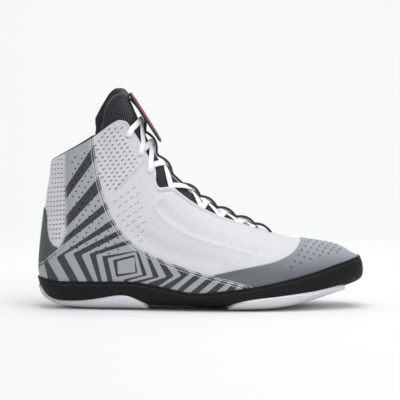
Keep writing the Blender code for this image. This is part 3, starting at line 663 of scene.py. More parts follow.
# %% [markdown]
# ### Striped film
#
# The side panel is a thin film pressed on the knit, printed with light and dark grey stripes
# that fold round a box above the arch. Each point of the panel carries its distance to the
# nearest border between two stripes, in millimetres, positive on a dark one, and the
# material only has to find where that number changes sign. An image would be the usual way,
# but this stays sharp at any size.


# %% Film
def film_material():
    material, tree, shader = new_material("striped_film", "#A9ADB3", 0.42)
    stripe = read(tree, "stripe").outputs["Fac"]
    dark = maths(tree, "MULTIPLY_ADD", stripe, 8.0, 0.5)
    dark = add(tree, "ShaderNodeClamp", {0: dark}).outputs[0]
    place = object_place(tree)
    grain = speckle(tree, place, 2200)
    light_tone = blend(tree, grain, "#8E9298", "#AFB2B7")
    dark_tone = blend(tree, grain, "#27272A", "#3E3E41")
    roughness = speckle(tree, place, 350, 0.34, 0.55)
    paint(tree, shader, blend(tree, dark, light_tone, dark_tone), roughness)
    bump(tree, shader, grain, 0.00005)
    return material


FILM = film_material()


# %% Rubber, suede and the dark cloths
def rubber_material():
    """Matte black rubber, with the faint unevenness that moulding leaves."""
    material, tree, shader = new_material("black_moulded_rubber", "#151518", 0.6)
    place = object_place(tree)
    fine = speckle(tree, place, 1500)
    shader.inputs["Specular IOR Level"].default_value = 0.25
    paint(tree, shader, blend(tree, fine, "#060607", "#131315"), speckle(tree, place, 120, 0.5, 0.75))
    below = bump(tree, shader, speckle(tree, place, 90), 0.0003)
    bump(tree, shader, fine, 0.00006, below)
    return material


def pod_material():
    """White rubber with fine level ribs, painted darker between them as shade, and random dirt."""
    material, tree, shader = new_material("white_pod_rubber", "#DADADF", 0.38)
    place = object_place(tree)
    ribs = maths(tree, "POWER", waves(tree, place, (0, 0, 1), 0.00135), 0.6)
    # Painted shade: the colour darkens in the grooves between the ribs.
    colour = blend(tree, ribs, "#D2D2D8", "#E4E4E9")
    dirt = maths(tree, "MULTIPLY", speckle(tree, place, 60), 0.2)
    paint(tree, shader, blend(tree, dirt, colour, "#C4C4CA"))
    bump(tree, shader, ribs, 0.00009)
    return material


def suede_material():
    """Brushed synthetic suede in slightly cloudy grey, painted lighter higher up as lit from above."""
    material, tree, shader = new_material("grey_synthetic_suede", "#858D92", 0.9, 0.5)
    place = object_place(tree)
    nap = speckle(tree, place, 1900)
    clouds = speckle(tree, place, 45, 0.25, 0.75)
    cloudy = weigh(tree, nap, 0.5, clouds, 0.5)
    # Painted light: the colour runs from a shaded tone low down to a lit tone higher up, as light from
    # above falls on the cap's top.
    level = add(tree, "ShaderNodeSeparateXYZ", {"Vector": place}).outputs["Z"]
    level = maths(tree, "MULTIPLY_ADD", level, 45.0, -1.5)
    painted_light_by_height = add(tree, "ShaderNodeClamp", {0: level}).outputs[0]
    shaded_low_tone = blend(tree, cloudy, "#4C5256", "#74797E")
    lit_high_tone = blend(tree, cloudy, "#7C8489", "#A8AEB3")
    tone = blend(tree, painted_light_by_height, shaded_low_tone, lit_high_tone)
    # Painted shade: the dimples' hollows are coloured dark, where shade falls in them.
    dimple = maths(tree, "MULTIPLY", read(tree, "dimple").outputs["Fac"], 0.85)
    paint(tree, shader, blend(tree, dimple, tone, "#23282B"))
    below = bump(tree, shader, clouds, 0.0002)
    bump(tree, shader, nap, 0.00014, below)
    return material


def grained_material():
    """Dark green-grey film with a leather grain, as on the heel counter."""
    material, tree, shader = new_material("grained_counter_film", "#3C4644", 0.55)
    place = object_place(tree)
    cells = add(tree, "ShaderNodeTexVoronoi", {"Vector": place, "Scale": 1100.0}).outputs["Distance"]
    paint(tree, shader, blend(tree, cells, "#333D3B", "#4B5755"))
    bump(tree, shader, cells, 0.00012)
    return material


def tongue_material():
    """Black spacer mesh: upright ribs with open cells, and a smoother grey padded rim."""
    material, tree, shader = new_material("black_tongue_mesh", "#18181A", 0.85, 0.3)
    place = read(tree, "cloth").outputs["Vector"]
    rim = read(tree, "rim").outputs["Fac"]
    ribs = waves(tree, place, (1, 0, 0), 2.3)
    rungs = waves(tree, place, (0.25, 1, 0), 1.9)
    grain = speckle(tree, object_place(tree), 1500)
    open_cells = maths(tree, "MULTIPLY", ribs, rungs)
    # Painted light and shade: the raised ribs are coloured lighter as a sheen, and the open cells darker as
    # shade.
    rib_shine_and_cell_shade = weigh(tree, open_cells, 0.5, ribs, 0.5)
    mesh_colour = blend(tree, rib_shine_and_cell_shade, "#060607", "#3C3D42")
    shader.inputs["Specular IOR Level"].default_value = 0.2
    rim_colour = blend(tree, grain, "#18181B", "#303036")
    paint(tree, shader, blend(tree, rim, mesh_colour, rim_colour))
    height = maths(tree, "MULTIPLY", open_cells, maths(tree, "SUBTRACT", 1.0, rim))
    below = bump(tree, shader, height, 0.0005)
    bump(tree, shader, grain, 0.00014, below)
    return material


def weave_material(name, low, high, period, roughness, depth, sheen=0.2):
    """A flat woven cloth or tape: yarns that cross at right angles, period millimetres apart."""
    material, tree, shader = new_material(name, high, roughness, sheen)
    place = read(tree, "cloth").outputs["Vector"]
    warp = waves(tree, place, (1, 1, 0), period)
    weft = waves(tree, place, (1, -1, 0), period)
    over = maths(tree, "MAXIMUM", warp, weft)
    grain = speckle(tree, object_place(tree), 1600)
    # Painted shade: the yarns are lighter where one lies on top and darker in the dips between them, mixed
    # with random grain.
    shade = weigh(tree, over, 0.6, grain, 0.4)
    paint(tree, shader, blend(tree, shade, low, high))
    bump(tree, shader, shade, depth)
    return material


RUBBER = rubber_material()
POD_RUBBER = pod_material()
SUEDE = suede_material()
COUNTER_FILM = grained_material()
TONGUE_MESH = tongue_material()
LINING_CLOTH = weave_material("black_lining_cloth", "#1B1B1D", "#3E3E42", 1.0, 0.9, 0.0001)
LACE_WEAVE = weave_material("white_woven_lace", "#E6E5EA", "#FBFAFC", 0.9, 0.75, 0.00006)
WEBBING_WEAVE = weave_material("black_webbing", "#0D0D0F", "#35353A", 1.2, 0.8, 0.00025)
COVER_CLOTH = weave_material("black_cover_cloth", "#101012", "#2B2B2E", 0.9, 0.75, 0.0001)
print("materials:", len(bpy.data.materials))

# %% [markdown]
# ## The knitted upper
#
# The upper is a sock-like tube, open at the collar, down the throat and under the foot. Its
# wall folds over at the throat, where a cord inside the fold makes a raised rim, and the lace
# goes through three pairs of eyelets in the flange above. A modelled sheet with Solidify
# could do this, but its rim would be square, so the section of the wall is drawn round the
# edge instead: inside, over the fold, and down the outside.


# %% Folds of the upper
Fold = namedtuple("Fold", "line width rise")
FOLDS = [
    Fold(through((0.389, 0.860), (0.366, 0.780), (0.424, 0.640),
                 (0.500, 0.545), (0.604, 0.470), (0.685, 0.415)), 0.0021, 0.0011),
    Fold(through((0.385, 0.770), (0.440, 0.655), (0.510, 0.570),
                 (0.604, 0.495), (0.680, 0.440)), 0.0050, -0.0010),
    Fold(through((0.334, 1.130), (0.306, 1.055), (0.274, 0.970), (0.244, 0.895)), 0.0010, -0.0009),
    Fold(through((0.326, 1.145), (0.297, 1.070), (0.265, 0.987), (0.236, 0.912)), 0.0014, 0.0007),
    Fold(through((0.300, 1.300), (0.330, 1.180), (0.370, 1.060)), 0.0050, 0.0008),
    Fold(through((0.210, 1.330), (0.235, 1.150), (0.250, 0.950)), 0.0060, -0.0009),
    Fold(through((0.300, 0.620), (0.370, 0.500), (0.450, 0.430), (0.560, 0.380)), 0.0055, -0.0010),
    Fold(through((0.640, 0.560), (0.660, 0.470), (0.650, 0.380)), 0.0032, -0.0008),
    Fold(through((0.060, 0.720), (0.110, 0.700), (0.180, 0.660)), 0.0070, -0.0008),
    Fold(through((0.050, 1.020), (0.090, 1.000), (0.150, 1.010)), 0.0080, -0.0008),
]


def fold_rise(station, turn):
    """How far the folds and soft troughs raise the cloth at each place."""
    spots = on_last(station, turn)
    rise = np.zeros(len(spots))
    for fold in FOLDS:
        away = distance_to(spots_line(fold.line, 6), spots[:, 0], spots[:, 2])
        rise += fold.rise * np.exp(-((away / fold.width) ** 2))
    return rise


RIM_GROOVE = 0.0010
RIM_GROOVE_DEPTH = 0.0006
RIM_SPAN = ([THROAT_TIP, 6.9, 11.7, 12.3], [0, 1, 1, 0])


def rim_rise(station, away):
    """The raised rim along the lower throat, with a groove behind it."""
    bulge = np.sin(pi * np.clip(away / THROAT_RIM_WIDTH, 0, 1)) ** 0.8
    lower = np.interp(station, *RIM_SPAN)
    groove = np.exp(-(((away - THROAT_RIM_WIDTH - RIM_GROOVE) / RIM_GROOVE) ** 2))
    return (THROAT_RIM_HEIGHT * bulge - RIM_GROOVE_DEPTH * groove) * lower


# %% The upper's wall
KNIT_STEP = 0.0014
KNIT_COLUMNS = 76
INSIDE_COLUMNS = 25
FOLD_STEPS = 7
NEAR_EDGE = np.linspace(0, 0.0050, 14)
EYELET_LIP = 0.0005
EYELET_RING = 0.0009
EYELET_RING_RISE = 0.0005
FIRST_STATION = 0.02
TIP_BEFORE = THROAT_TIP - 0.1
TIP_BEHIND = THROAT_TIP + THROAT_TIP_REACH
FOLD_FULL = 6.8
FLANGE_SEAM = spots_line(through((0.330, 1.125), (0.300, 1.035), (0.270, 0.945), (0.235, 0.865)))


def eyelet_places():
    """The middle of each eyelet on the last, and its side."""
    places = []
    for station in EYELETS:
        for side in (-1, 1):
            turn = throat_edge(station, side) + side * EYELET_SETBACK / girth(station, side)
            places.append((on_last(np.array(station), np.array(turn)), side))
    return places


def upper_outside(stations, edge, side):
    """The outside of the wall, with its eyelets, its rim and its folds."""
    near = edge + side * NEAR_EDGE / girth(stations, side)[:, None]
    share = np.linspace(0, 1, KNIT_COLUMNS)[None, 1:]
    turns = np.concatenate([near, near[:, -1:] + (side - near[:, -1:]) * share], 1)
    patch = Patch(stations, turns[:, ::side])
    centres = [centre for centre, which in eyelet_places() if which == side]
    away = [np.linalg.norm(patch.points() - centre, axis=1) for centre in centres]
    patch.data["hole"] = np.min(away, axis=0) - EYELET_RADIUS
    patch.cut("hole", -EYELET_LIP)
    station, turn, hole = (patch.data[name] for name in ("station", "turn", "hole"))
    away = np.abs(turn - throat_edge(station, side)) * girth(station, side)
    lip = np.clip(-hole / EYELET_LIP, 0, 1) ** 1.5
    ring = EYELET_RING_RISE * np.exp(-((hole / EYELET_RING) ** 2)) * (hole > 0)
    return patch, rim_rise(station, away) + fold_rise(station, turn) - (UPPER_WALL * lip - ring)


def upper_side(side):
    """One side of the upper: its outside, its inside and the fold between them at the throat."""
    stations = np.concatenate([
        even_stations(FIRST_STATION, TIP_BEFORE, KNIT_STEP)[:-1],
        np.linspace(TIP_BEFORE, TIP_BEHIND, 14)[:-1],
        even_stations(TIP_BEHIND, COLLAR_STATION, KNIT_STEP),
    ])
    edge = throat_edge(stations, side)[:, None]
    outside, height = upper_outside(stations, edge, side)
    inner = edge + (side - edge) * np.linspace(0, 1, INSIDE_COLUMNS)[None]
    inside = Patch(stations, inner[:, ::side])
    inside.faces = [face[::-1] for face in inside.faces]
    open_rows = stations[stations >= THROAT_TIP]
    steps = np.linspace(0, pi, FOLD_STEPS)[None]
    grows = np.interp(open_rows, [THROAT_TIP, FOLD_FULL], [0, 1])[:, None]
    bulge = np.sin(steps) * UPPER_WALL / 2 * grows
    edge = throat_edge(open_rows, side)[:, None]
    fold = Patch(open_rows, edge - side * bulge / girth(open_rows, side)[:, None])
    if side > 0:
        fold.faces = [face[::-1] for face in fold.faces]
    depth = np.tile(((np.cos(steps) - 1) / 2)[0], len(open_rows))
    fold_height = depth * UPPER_WALL + fold_rise(*fold.place) * (1 + depth)
    return [(outside, height), (inside, -UPPER_WALL), (fold, fold_height)]


def mesh_zone(station, turn):
    """1 where the knit is an open mesh, on the flange, and 0 elsewhere."""
    spots = on_last(station, turn)
    along = np.interp(spots[:, 2], FLANGE_SEAM[::-1, 1], FLANGE_SEAM[::-1, 0])
    flange = (spots[:, 0] < along) & (spots[:, 2] > FLANGE_SEAM[-1, 1])
    return flange.astype(float)


def make_upper():
    """The whole upper, its two sides joined."""
    pieces = []
    for patch, height in upper_side(-1) + upper_side(1):
        fields = {"cloth": cloth_places(*patch.place), "mesh_zone": mesh_zone(*patch.place)}
        pieces.append((patch.points(height), patch.faces, fields))
    points, faces, fields = join(pieces)
    return make_piece("knit_upper", points, faces, KNIT, fields, ["upper"])


upper = make_upper()
print("upper:", len(upper.data.polygons), "faces")

# %% [markdown]
# ## Overlays
#
# Side panel, heel counter and toe cap are thin sheets on the knit. Each is a patch cut along
# its outline, and its edge is rounded down into the knit over half a millimetre.


# %% Overlays
EDGE_LEVELS = (0.0, 0.00015, 0.0005)
EDGE_HEIGHTS = (-0.3, 0.70, 1.0)
OVERLAY_STEP = 0.0010
UNDER_RUBBER = 0.03
COLUMN_STRETCH = 1.25
rubber_top = spots_line(RUBBER_TOP)
panel_front = spots_line(PANEL_FRONT)
panel_back = spots_line(PANEL_BACK)
lowered = spots_line(RUBBER_TOP, raised=-UNDER_RUBBER)


def cut_sheet(outline, first, final, step=OVERLAY_STEP):
    """A patch all round the last between two stations, cut along a side-view outline."""
    stations = even_stations(first, final, step)
    columns = int(2 * NET.girths[0].max() / step / COLUMN_STRETCH)
    patch = Patch(stations, np.tile(np.linspace(-1, 1, columns), (len(stations), 1)))
    spots = patch.points()
    patch.data["inside"] = depth_inside(outline, spots[:, 0], spots[:, 2])
    patch.cut("inside", EDGE_LEVELS[0])
    for level in EDGE_LEVELS[1:]:
        patch.cut("inside", level, keep_rest=True)
    return patch


def sheet_offset(patch, base, thickness):
    """The height of a sheet over the last, rounded down at its edge."""
    return base + thickness * np.interp(patch.data["inside"], EDGE_LEVELS, EDGE_HEIGHTS)


def finish_sheet(name, patch, offset, material, node, fields=None):
    """Makes an overlay from its patch."""
    fields = {"cloth": cloth_places(*patch.place), **(fields or {})}
    return make_piece(name, patch.points(offset), patch.faces, material, fields, [node])


# %% Stripes of the film
Stripe = namedtuple("Stripe", "left top right sole_right sole_left")
STRIPES = [Stripe(*row) for row in (
    ((0.252, 0.379), (0.303, 0.412), (0.307, 0.299), (0.254, 0.283), (0.254, 0.283)),
    ((0.239, 0.389), (0.304, 0.431), (0.313, 0.291), (0.249, 0.260), (0.249, 0.260)),
    ((0.223, 0.404), (0.309, 0.452), (0.328, 0.278), (0.271, 0.242), (0.239, 0.231)),
    ((0.206, 0.418), (0.314, 0.463), (0.342, 0.275), (0.286, 0.234), (0.223, 0.231)),
    ((0.188, 0.429), (0.323, 0.539), (0.360, 0.264), (0.303, 0.229), (0.206, 0.231)),
    ((0.168, 0.437), (0.320, 0.575), (0.378, 0.262), (0.325, 0.221), (0.194, 0.231)),
    ((0.144, 0.428), (0.317, 0.649), (0.400, 0.264), (0.344, 0.216), (0.180, 0.231)),
    ((0.119, 0.439), (0.302, 0.678), (0.422, 0.272), (0.376, 0.193), (0.161, 0.231)),
    ((0.092, 0.428), (0.294, 0.728), (0.445, 0.275), (0.384, 0.185), (0.135, 0.231)),
    ((0.069, 0.408), (0.279, 0.774), (0.471, 0.292), (0.409, 0.170), (0.107, 0.235)),
    ((0.038, 0.400), (0.275, 0.879), (0.490, 0.292), (0.430, 0.162), (0.074, 0.242)),
    ((0.026, 0.415), (0.269, 0.943), (0.508, 0.277), (0.448, 0.154), (0.041, 0.258)),
    ((0.050, 0.499), (0.245, 1.039), (0.529, 0.269), (0.471, 0.147), (0.008, 0.269)),
    ((0.050, 0.575), (0.230, 1.129), (0.547, 0.257), (0.495, 0.143), (-0.010, 0.315)),
    ((0.065, 0.732), (0.213, 1.259), (0.567, 0.246), (0.520, 0.147), (-0.028, 0.377)),
    ((0.075, 0.850), (0.192, 1.311), (0.586, 0.235), (0.549, 0.154), (-0.046, 0.430)),
    ((0.020, 1.200), (0.150, 1.500), (0.607, 0.236), (0.571, 0.151), (-0.060, 0.500)),
    ((0.015, 1.250), (0.140, 1.550), (0.622, 0.238), (0.598, 0.150), (-0.070, 0.520)),
    ((0.010, 1.300), (0.130, 1.600), (0.640, 0.235), (0.617, 0.148), (-0.080, 0.540)),
    ((0.005, 1.350), (0.120, 1.650), (0.662, 0.235), (0.640, 0.150), (-0.090, 0.560)),
)]
STRIPE_UNDER = 0.2
PANEL_SPAN = (6.0, COLLAR_STATION)


def stripe_field(x, z):
    """The distance to the nearest border of a stripe in millimetres, positive on dark ones."""
    inside_of = np.zeros(x.shape, int)
    nearest = np.full(x.shape, 1.0)
    for stripe in STRIPES:
        corners = list(stripe)
        if stripe.sole_right != stripe.sole_left:
            corners[4:4] = [(end[0], -STRIPE_UNDER) for end in (stripe.sole_right, stripe.sole_left)]
        depth = depth_inside(in_metres(corners), x, z)
        inside_of += depth > 0
        nearest = np.minimum(nearest, np.abs(depth))
    return nearest * 1000 * np.where(inside_of % 2 == 1, 1, -1)


def make_side_panel():
    """The striped film: its outline follows the front, the cup's top and the back."""
    front = panel_front[panel_front[:, 1] > height_on(lowered, panel_front[:, 0])]
    base = lowered[(lowered[:, 0] > panel_back[0, 0]) & (lowered[:, 0] < front[-1, 0])]
    outline = np.concatenate([front, base[::-1], panel_back])
    patch = cut_sheet(outline, *PANEL_SPAN)
    spots = patch.points()
    fields = {"stripe": stripe_field(spots[:, 0], spots[:, 2])}
    offset = sheet_offset(patch, FIT_GAP, PANEL_THICKNESS)
    return finish_sheet("striped_side_panel", patch, offset, FILM, "side_panel", fields)


side_panel = make_side_panel()
print("side panel:", len(side_panel.data.polygons), "faces")


# %% Heel counter and toe cap
COUNTER_BELOW = 0.004
COUNTER_SPAN = (10.5, 18.5)
CAP_SPAN = (FIRST_STATION, 9.5)


def make_heel_counter():
    """The film at the heel, which runs down behind the panel."""
    line = spots_line(COUNTER_FRONT)
    base = panel_back[panel_back[:, 0] < line[-1, 0]] - (0, COUNTER_BELOW)
    patch = cut_sheet(np.concatenate([line, base[::-1]]), *COUNTER_SPAN)
    offset = sheet_offset(patch, 0, PANEL_THICKNESS + FIT_GAP)
    return finish_sheet("heel_counter_film", patch, offset, COUNTER_FILM, "heel_counter")


DimpleRow = namedtuple("DimpleRow", "along up count")
DIMPLE_ROWS = [DimpleRow(*row) for row in (
    (0.772, 0.336, 1), (0.784, 0.376, 2), (0.796, 0.416, 3), (0.807, 0.450, 4), (0.818, 0.479, 5),
    (0.827, 0.502, 6), (0.836, 0.516, 6), (0.862, 0.517, 5),
)]
DIMPLE_STEP = (0.0173, -0.0133)
DIMPLE_DEPTH = 0.00065
DIMPLE_RADIUS = 0.0010
DIMPLED_STEP = 0.00055
DIMPLE_FLATTER = 1.25
CAP_OVER_PANEL = 0.0012


def dimple_depth(x, z):
    """How deep the dimples of the toe cap are at places seen from the side, from 0 to 1."""
    depth = np.zeros(x.shape)
    for row in DIMPLE_ROWS:
        steps = np.outer(np.arange(row.count), DIMPLE_STEP)
        for along, up in in_metres((row.along, row.up) + steps):
            away = np.hypot(x - along, (z - up) * DIMPLE_FLATTER)
            depth = np.maximum(depth, np.exp(-((away / DIMPLE_RADIUS) ** 2)))
    return depth


def make_toe_cap():
    """The suede cap: its outline runs down the back, along the cup's top and round the toe."""
    line = spots_line(TOE_CAP_BACK)
    front = panel_front[panel_front[:, 0] > line[0, 0]] + (0, CAP_OVER_PANEL)
    base = lowered[lowered[:, 0] > front[-1, 0]]
    outline = np.concatenate([line, [(base[-1, 0], line[-1, 1])], base[::-1], front[::-1]])
    patch = cut_sheet(outline, *CAP_SPAN, DIMPLED_STEP)
    spots = patch.points()
    dimple = dimple_depth(spots[:, 0], spots[:, 2])
    offset = sheet_offset(patch, FIT_GAP, TOE_CAP_THICKNESS) - DIMPLE_DEPTH * dimple
    fields = {"dimple": dimple}
    return finish_sheet("suede_toe_cap", patch, offset, SUEDE, "toe_cap", fields)


heel_counter = make_heel_counter()
toe_cap = make_toe_cap()
print("counter and cap:", len(heel_counter.data.polygons), len(toe_cap.data.polygons), "faces")

# %% [markdown]
# ## The sole
#
# A thin cup of black rubber wraps the foot, higher at toe and heel than at the arch, and two
# white pods under heel and forefoot take the wear. The cup is one patch that goes right
# under the foot. The pods grow thicker towards the floor, where they are flat.


# %% Cup and pods
CUP_STITCH_DEPTH = 0.0032
CUP_GROOVE = 0.0004
CUP_GROOVE_WIDTH = 0.0007
CUP_STEP = 0.0012
CUP_SPAN = (FIRST_STATION, 16.5)
HEEL_POD_SPAN = (9.5, 16.5)
FOREFOOT_POD_SPAN = (0.2, 10)
BELOW_THE_FLOOR = -0.02
POD_EDGE_HEIGHTS = (-1, 0.7, 1.0)


def cut_down(line, span, step):
    """A patch of all that lies under a side-view line."""
    corners = [(line[-1, 0], BELOW_THE_FLOOR), (line[0, 0], BELOW_THE_FLOOR)]
    return cut_sheet(np.concatenate([line, corners]), *span, step)


def make_cup():
    """The rubber cup, with a groove for its stitches."""
    patch = cut_down(rubber_top, CUP_SPAN, CUP_STEP)
    groove = np.exp(-(((patch.data["inside"] - CUP_STITCH_DEPTH) / CUP_GROOVE_WIDTH) ** 2))
    offset = sheet_offset(patch, 0, FIT_GAP + RUBBER_WALL) - CUP_GROOVE * groove
    return finish_sheet("rubber_cup", patch, offset, RUBBER, "outsole")


def make_pod(name, top, span, node):
    """A pod: thin up the side, and down to the floor where it faces the floor."""
    patch = cut_down(spots_line(top), span, OVERLAY_STEP)
    under = np.clip(-facing_at(*patch.place)[:, 2] / POD_FULL_UNDER, 0, 1)
    cup = 2 * FIT_GAP + RUBBER_WALL
    thick = POD_EDGE + (SOLE_UNDER + FIT_GAP - cup - POD_EDGE) * under**2
    edge = np.interp(patch.data["inside"], EDGE_LEVELS, POD_EDGE_HEIGHTS)
    points = patch.points(cup + thick * edge)
    points[:, 2] = np.maximum(points[:, 2], 0)
    fields = {"cloth": cloth_places(*patch.place)}
    return make_piece(name, points, patch.faces, POD_RUBBER, fields, [node])


cup = make_cup()
heel_pod = make_pod("white_heel_pod", HEEL_POD_TOP, HEEL_POD_SPAN, "heel_pod")
forefoot_pod = make_pod("white_forefoot_pod", FOREFOOT_POD_TOP, FOREFOOT_POD_SPAN, "forefoot_pod")
print("cup and pods:", [len(p.data.polygons) for p in (cup, heel_pod, forefoot_pod)], "faces")

# %% [markdown]
# ## Tongue, lining and insole
#
# The tongue is padded mesh that lies under the throat and stands up above the collar with a
# thicker rim. Its section is drawn all round, so it is one closed, soft-edged body. The
# lining rolls over the collar's edge, and only the top of the insole can be seen.


# %% Tongue
TONGUE_STEP = 0.0013
TONGUE_COLUMNS = 61
TONGUE_SQUARENESS = 16
TONGUE_RIM = 0.0052
TONGUE_RIM_EDGE = 0.0006
TONGUE_RIM_PUFF = 0.0007
TONGUE_CLOSE_ROWS = 21.0
TONGUE_END = 21.37
TONGUE_TOP_ROUND = 0.25
TONGUE_TOE_ROUND = 0.3
TONGUE_TUCK = 0.24
TONGUE_BULGE = 0.0022
TONGUE_BULGES = ([6.6, 7.4, 18.9, 20.6], [0, 1, 1, 0])
RIM_SHOWS = [18.6, 19.2]
FAR_WING_RISE = 0.5
FAR_WING_RISES = [18.8, TONGUE_END]
FAR_WING_WIDER = 0.36
FAR_WING_STARTS = 18.3
FAR_WING_GROWS_OVER = 2.2
FAR_WING_SHARPNESS = 1.6


def tongue_half(station, side):
    """The turn of the tongue's border."""
    low = np.minimum(station, COLLAR_STATION)
    border = throat_edge(low, side) + side * (THROAT_RIM_WIDTH + THROAT_RIM_STEP) / girth(low, side)
    bed = np.interp(low, NET.stations, NET.breadths) - LASTING_MARGIN
    border += (side * (1 - bed / girth(low, side)) - border) * TONGUE_TUCK
    stations, widths = np.array(WINGS).T
    return border * np.interp(station, stations, widths)


def tongue_bulge(station, turn):
    """How far the tongue swells up between the throat's edges."""
    side = np.where(np.asarray(turn) < 0, -1, 1)
    edge = np.abs(throat_edge(np.minimum(station, COLLAR_STATION), side)) + 0.001
    middle = np.clip(1 - (np.abs(turn) / edge) ** 2, 0, 1)
    return TONGUE_BULGE * middle * np.interp(station, *TONGUE_BULGES)


def make_tongue():
    """The tongue, drawn all round its section, with a padded rim and a wider far wing."""
    stations = np.concatenate([
        even_stations(TONGUE_START, TONGUE_CLOSE_ROWS, TONGUE_STEP)[:-1],
        np.linspace(TONGUE_CLOSE_ROWS, TONGUE_END, 9),
    ])
    across = np.sin(np.linspace(-pi / 2, pi / 2, TONGUE_COLUMNS))
    thin = np.sqrt(np.maximum(1 - across**TONGUE_SQUARENESS, 0))
    ring_across = np.concatenate([across, across[-2::-1]])
    ring_side = np.concatenate([thin, -thin[-2::-1]])
    left, right = (tongue_half(stations, side)[:, None] for side in (-1, 1))
    patch = Patch(stations, np.where(ring_across < 0, -left * ring_across, right * ring_across))
    station, turn = patch.place
    side = np.tile(ring_side, len(stations))
    reach = np.tile(np.abs(ring_across), len(stations))
    border = np.where(turn < 0, -tongue_half(station, -1), tongue_half(station, 1))
    half_width = border * np.where(turn < 0, girth(station, -1), girth(station, 1))
    ridge = 0 * station
    above = np.linalg.norm(on_last(ridge + TONGUE_END, ridge) - on_last(station, ridge), axis=1)
    from_edge = np.minimum((1 - reach) * half_width, above)
    shows = np.interp(station, RIM_SHOWS, [0, 1])
    rim = np.clip((TONGUE_RIM - from_edge) / TONGUE_RIM_EDGE + 0.5, 0, 1) * shows
    puff = TONGUE_RIM_PUFF * np.sin(pi * np.clip(from_edge / TONGUE_RIM, 0, 1)) * shows
    end = quarter_round((TONGUE_END - station) / TONGUE_TOP_ROUND)
    start = np.clip((station - TONGUE_START) / TONGUE_TOE_ROUND, 0.02, 1)
    middle = -UPPER_WALL - FIT_GAP - TONGUE_THICKNESS / 2
    offset = middle + side * (TONGUE_THICKNESS / 2 + puff) * end * start
    offset += tongue_bulge(station, turn) * (side > -0.5)
    far = np.clip(turn / np.abs(border) * FAR_WING_SHARPNESS, 0, 1)
    rise = FAR_WING_RISE * far * np.interp(station, FAR_WING_RISES, [0, 1])
    growth = np.clip((station - FAR_WING_STARTS) / FAR_WING_GROWS_OVER, 0, 1)
    patch.data["station"] = station + rise
    patch.data["turn"] = turn * (1 + FAR_WING_WIDER * np.sin(pi / 2 * growth) * far)
    fields = {"cloth": cloth_places(station, patch.data["turn"]), "rim": rim}
    points = patch.points(offset)
    tongue = make_piece("padded_tongue", points, patch.faces, TONGUE_MESH, fields, ["tongue"])
    print("tongue:", len(stations), "rows of", len(ring_across))
    return tongue


make_tongue()


# %% Lining and insole
# The roll's section: heights over the collar and offsets from the last, in millimetres
ROLL = [
    (-14, -5.0), (-9, -5.4), (-5, -5.4), (-2, -5.4), (-0.6, -5.3), (0.6, -4.9), (1.4, -4.1), (1.9, -3.1),
    (2.0, -2.1), (1.8, -1.3), (1.3, -0.7), (0.7, -0.4), (0.1, -0.35), (-0.5, -0.6), (-0.9, -1.1),
]
ROLL_SUNK = 3.4
ROLL_SINKS_AHEAD = [-0.001, 0.006]
ROLL_SINKS_BEHIND = [0.94, 1]
ROLL_STAYS_BELOW = -2
ROLL_COLUMNS = 110
INSOLE_STEP = 0.0025
INSOLE_COLUMNS = 61
INSOLE_HALF_TURN = 0.30
INSOLE_WIDTHS = ([1, 5, 14.5], [1.0, 1.0, 1.15])
INSOLE_EDGE = 0.06
INSOLE_TOE_ROUND = 0.5
INSOLE_HEEL_ROUND = 0.3


def make_lining():
    """The lining's roll over the collar, sunk behind the knit in front of the panel."""
    turns = []
    for side in (-1, 1):
        start = throat_edge(np.array(COLLAR_STATION), side)
        turns.append(start + (side - start) * np.linspace(0, 1, ROLL_COLUMNS))
    around = np.concatenate([turns[1], turns[0][-2::-1]])
    collar = np.full(len(around), float(COLLAR_STATION))
    speed = np.linalg.norm(on_last(collar + 0.1, around) - on_last(collar - 0.1, around), axis=1) / 0.2
    ahead = on_last(collar, around)[:, 0] - panel_front[panel_front[:, 1].argmax(), 0]
    sunk = ROLL_SUNK * np.interp(ahead, ROLL_SINKS_AHEAD, [0, 1])
    sunk += np.interp(np.abs(around), ROLL_SINKS_BEHIND, [0, 1])
    rows = []
    for height, offset in ROLL:
        station = collar + (height - sunk * (height > ROLL_STAYS_BELOW)) / 1000 / speed
        behind = offset - (offset + 1000 * UPPER_WALL) * (sunk / ROLL_SUNK).clip(0, 1)
        rows.append(on_last(station, around, np.minimum(offset, behind) / 1000))
    patch = Patch(np.arange(len(ROLL)) * 1.0, np.tile(around, (len(ROLL), 1)))
    across, along = patch.data["turn"] * 100, patch.data["station"] * 1.2
    fields = {"cloth": np.stack([across, along, 0 * along], -1)}
    faces = [face[::-1] for face in patch.faces]
    points, nodes = np.concatenate(rows), ["collar_lining"]
    lining = make_piece("collar_lining_roll", points, faces, LINING_CLOTH, fields, nodes)
    return lining


def make_insole():
    """The foot bed: a sheet with soft edges over the upper's margin."""
    stations = even_stations(INSOLE_START, INSOLE_END, INSOLE_STEP)
    share = np.linspace(-1, 1, INSOLE_COLUMNS)
    wider = np.interp(stations, *INSOLE_WIDTHS)[:, None]
    patch = Patch(stations, 1 + share * INSOLE_HALF_TURN * wider)
    patch.faces = [face[::-1] for face in patch.faces]
    station, _ = patch.place
    reach = np.tile(np.abs(share), len(stations))
    toe, heel = (station - INSOLE_START) / INSOLE_TOE_ROUND, (INSOLE_END - station) / INSOLE_HEEL_ROUND
    sink = np.minimum((1 - reach) / INSOLE_EDGE, np.minimum(toe, heel)).clip(0, 1)
    offset = -UPPER_WALL - (FIT_GAP + INSOLE_THICKNESS) * np.sqrt(sink)
    return finish_sheet("cloth_insole", patch, offset, LINING_CLOTH, "insole")


lining = make_lining()
insole = make_insole()
print("lining and insole:", len(lining.data.polygons), len(insole.data.polygons), "faces")

# %% [markdown]
# ## Lacing
#
# One flat lace criss-crosses over the tongue under loops of black webbing, which are sewn
# down between the crossings, and ends at the top eyelets behind the flap. Each run is a flat
# oval swept along a smooth path on the last, so that it lies on the tongue, climbs over the
# flange's edge and dips into its eyelet.


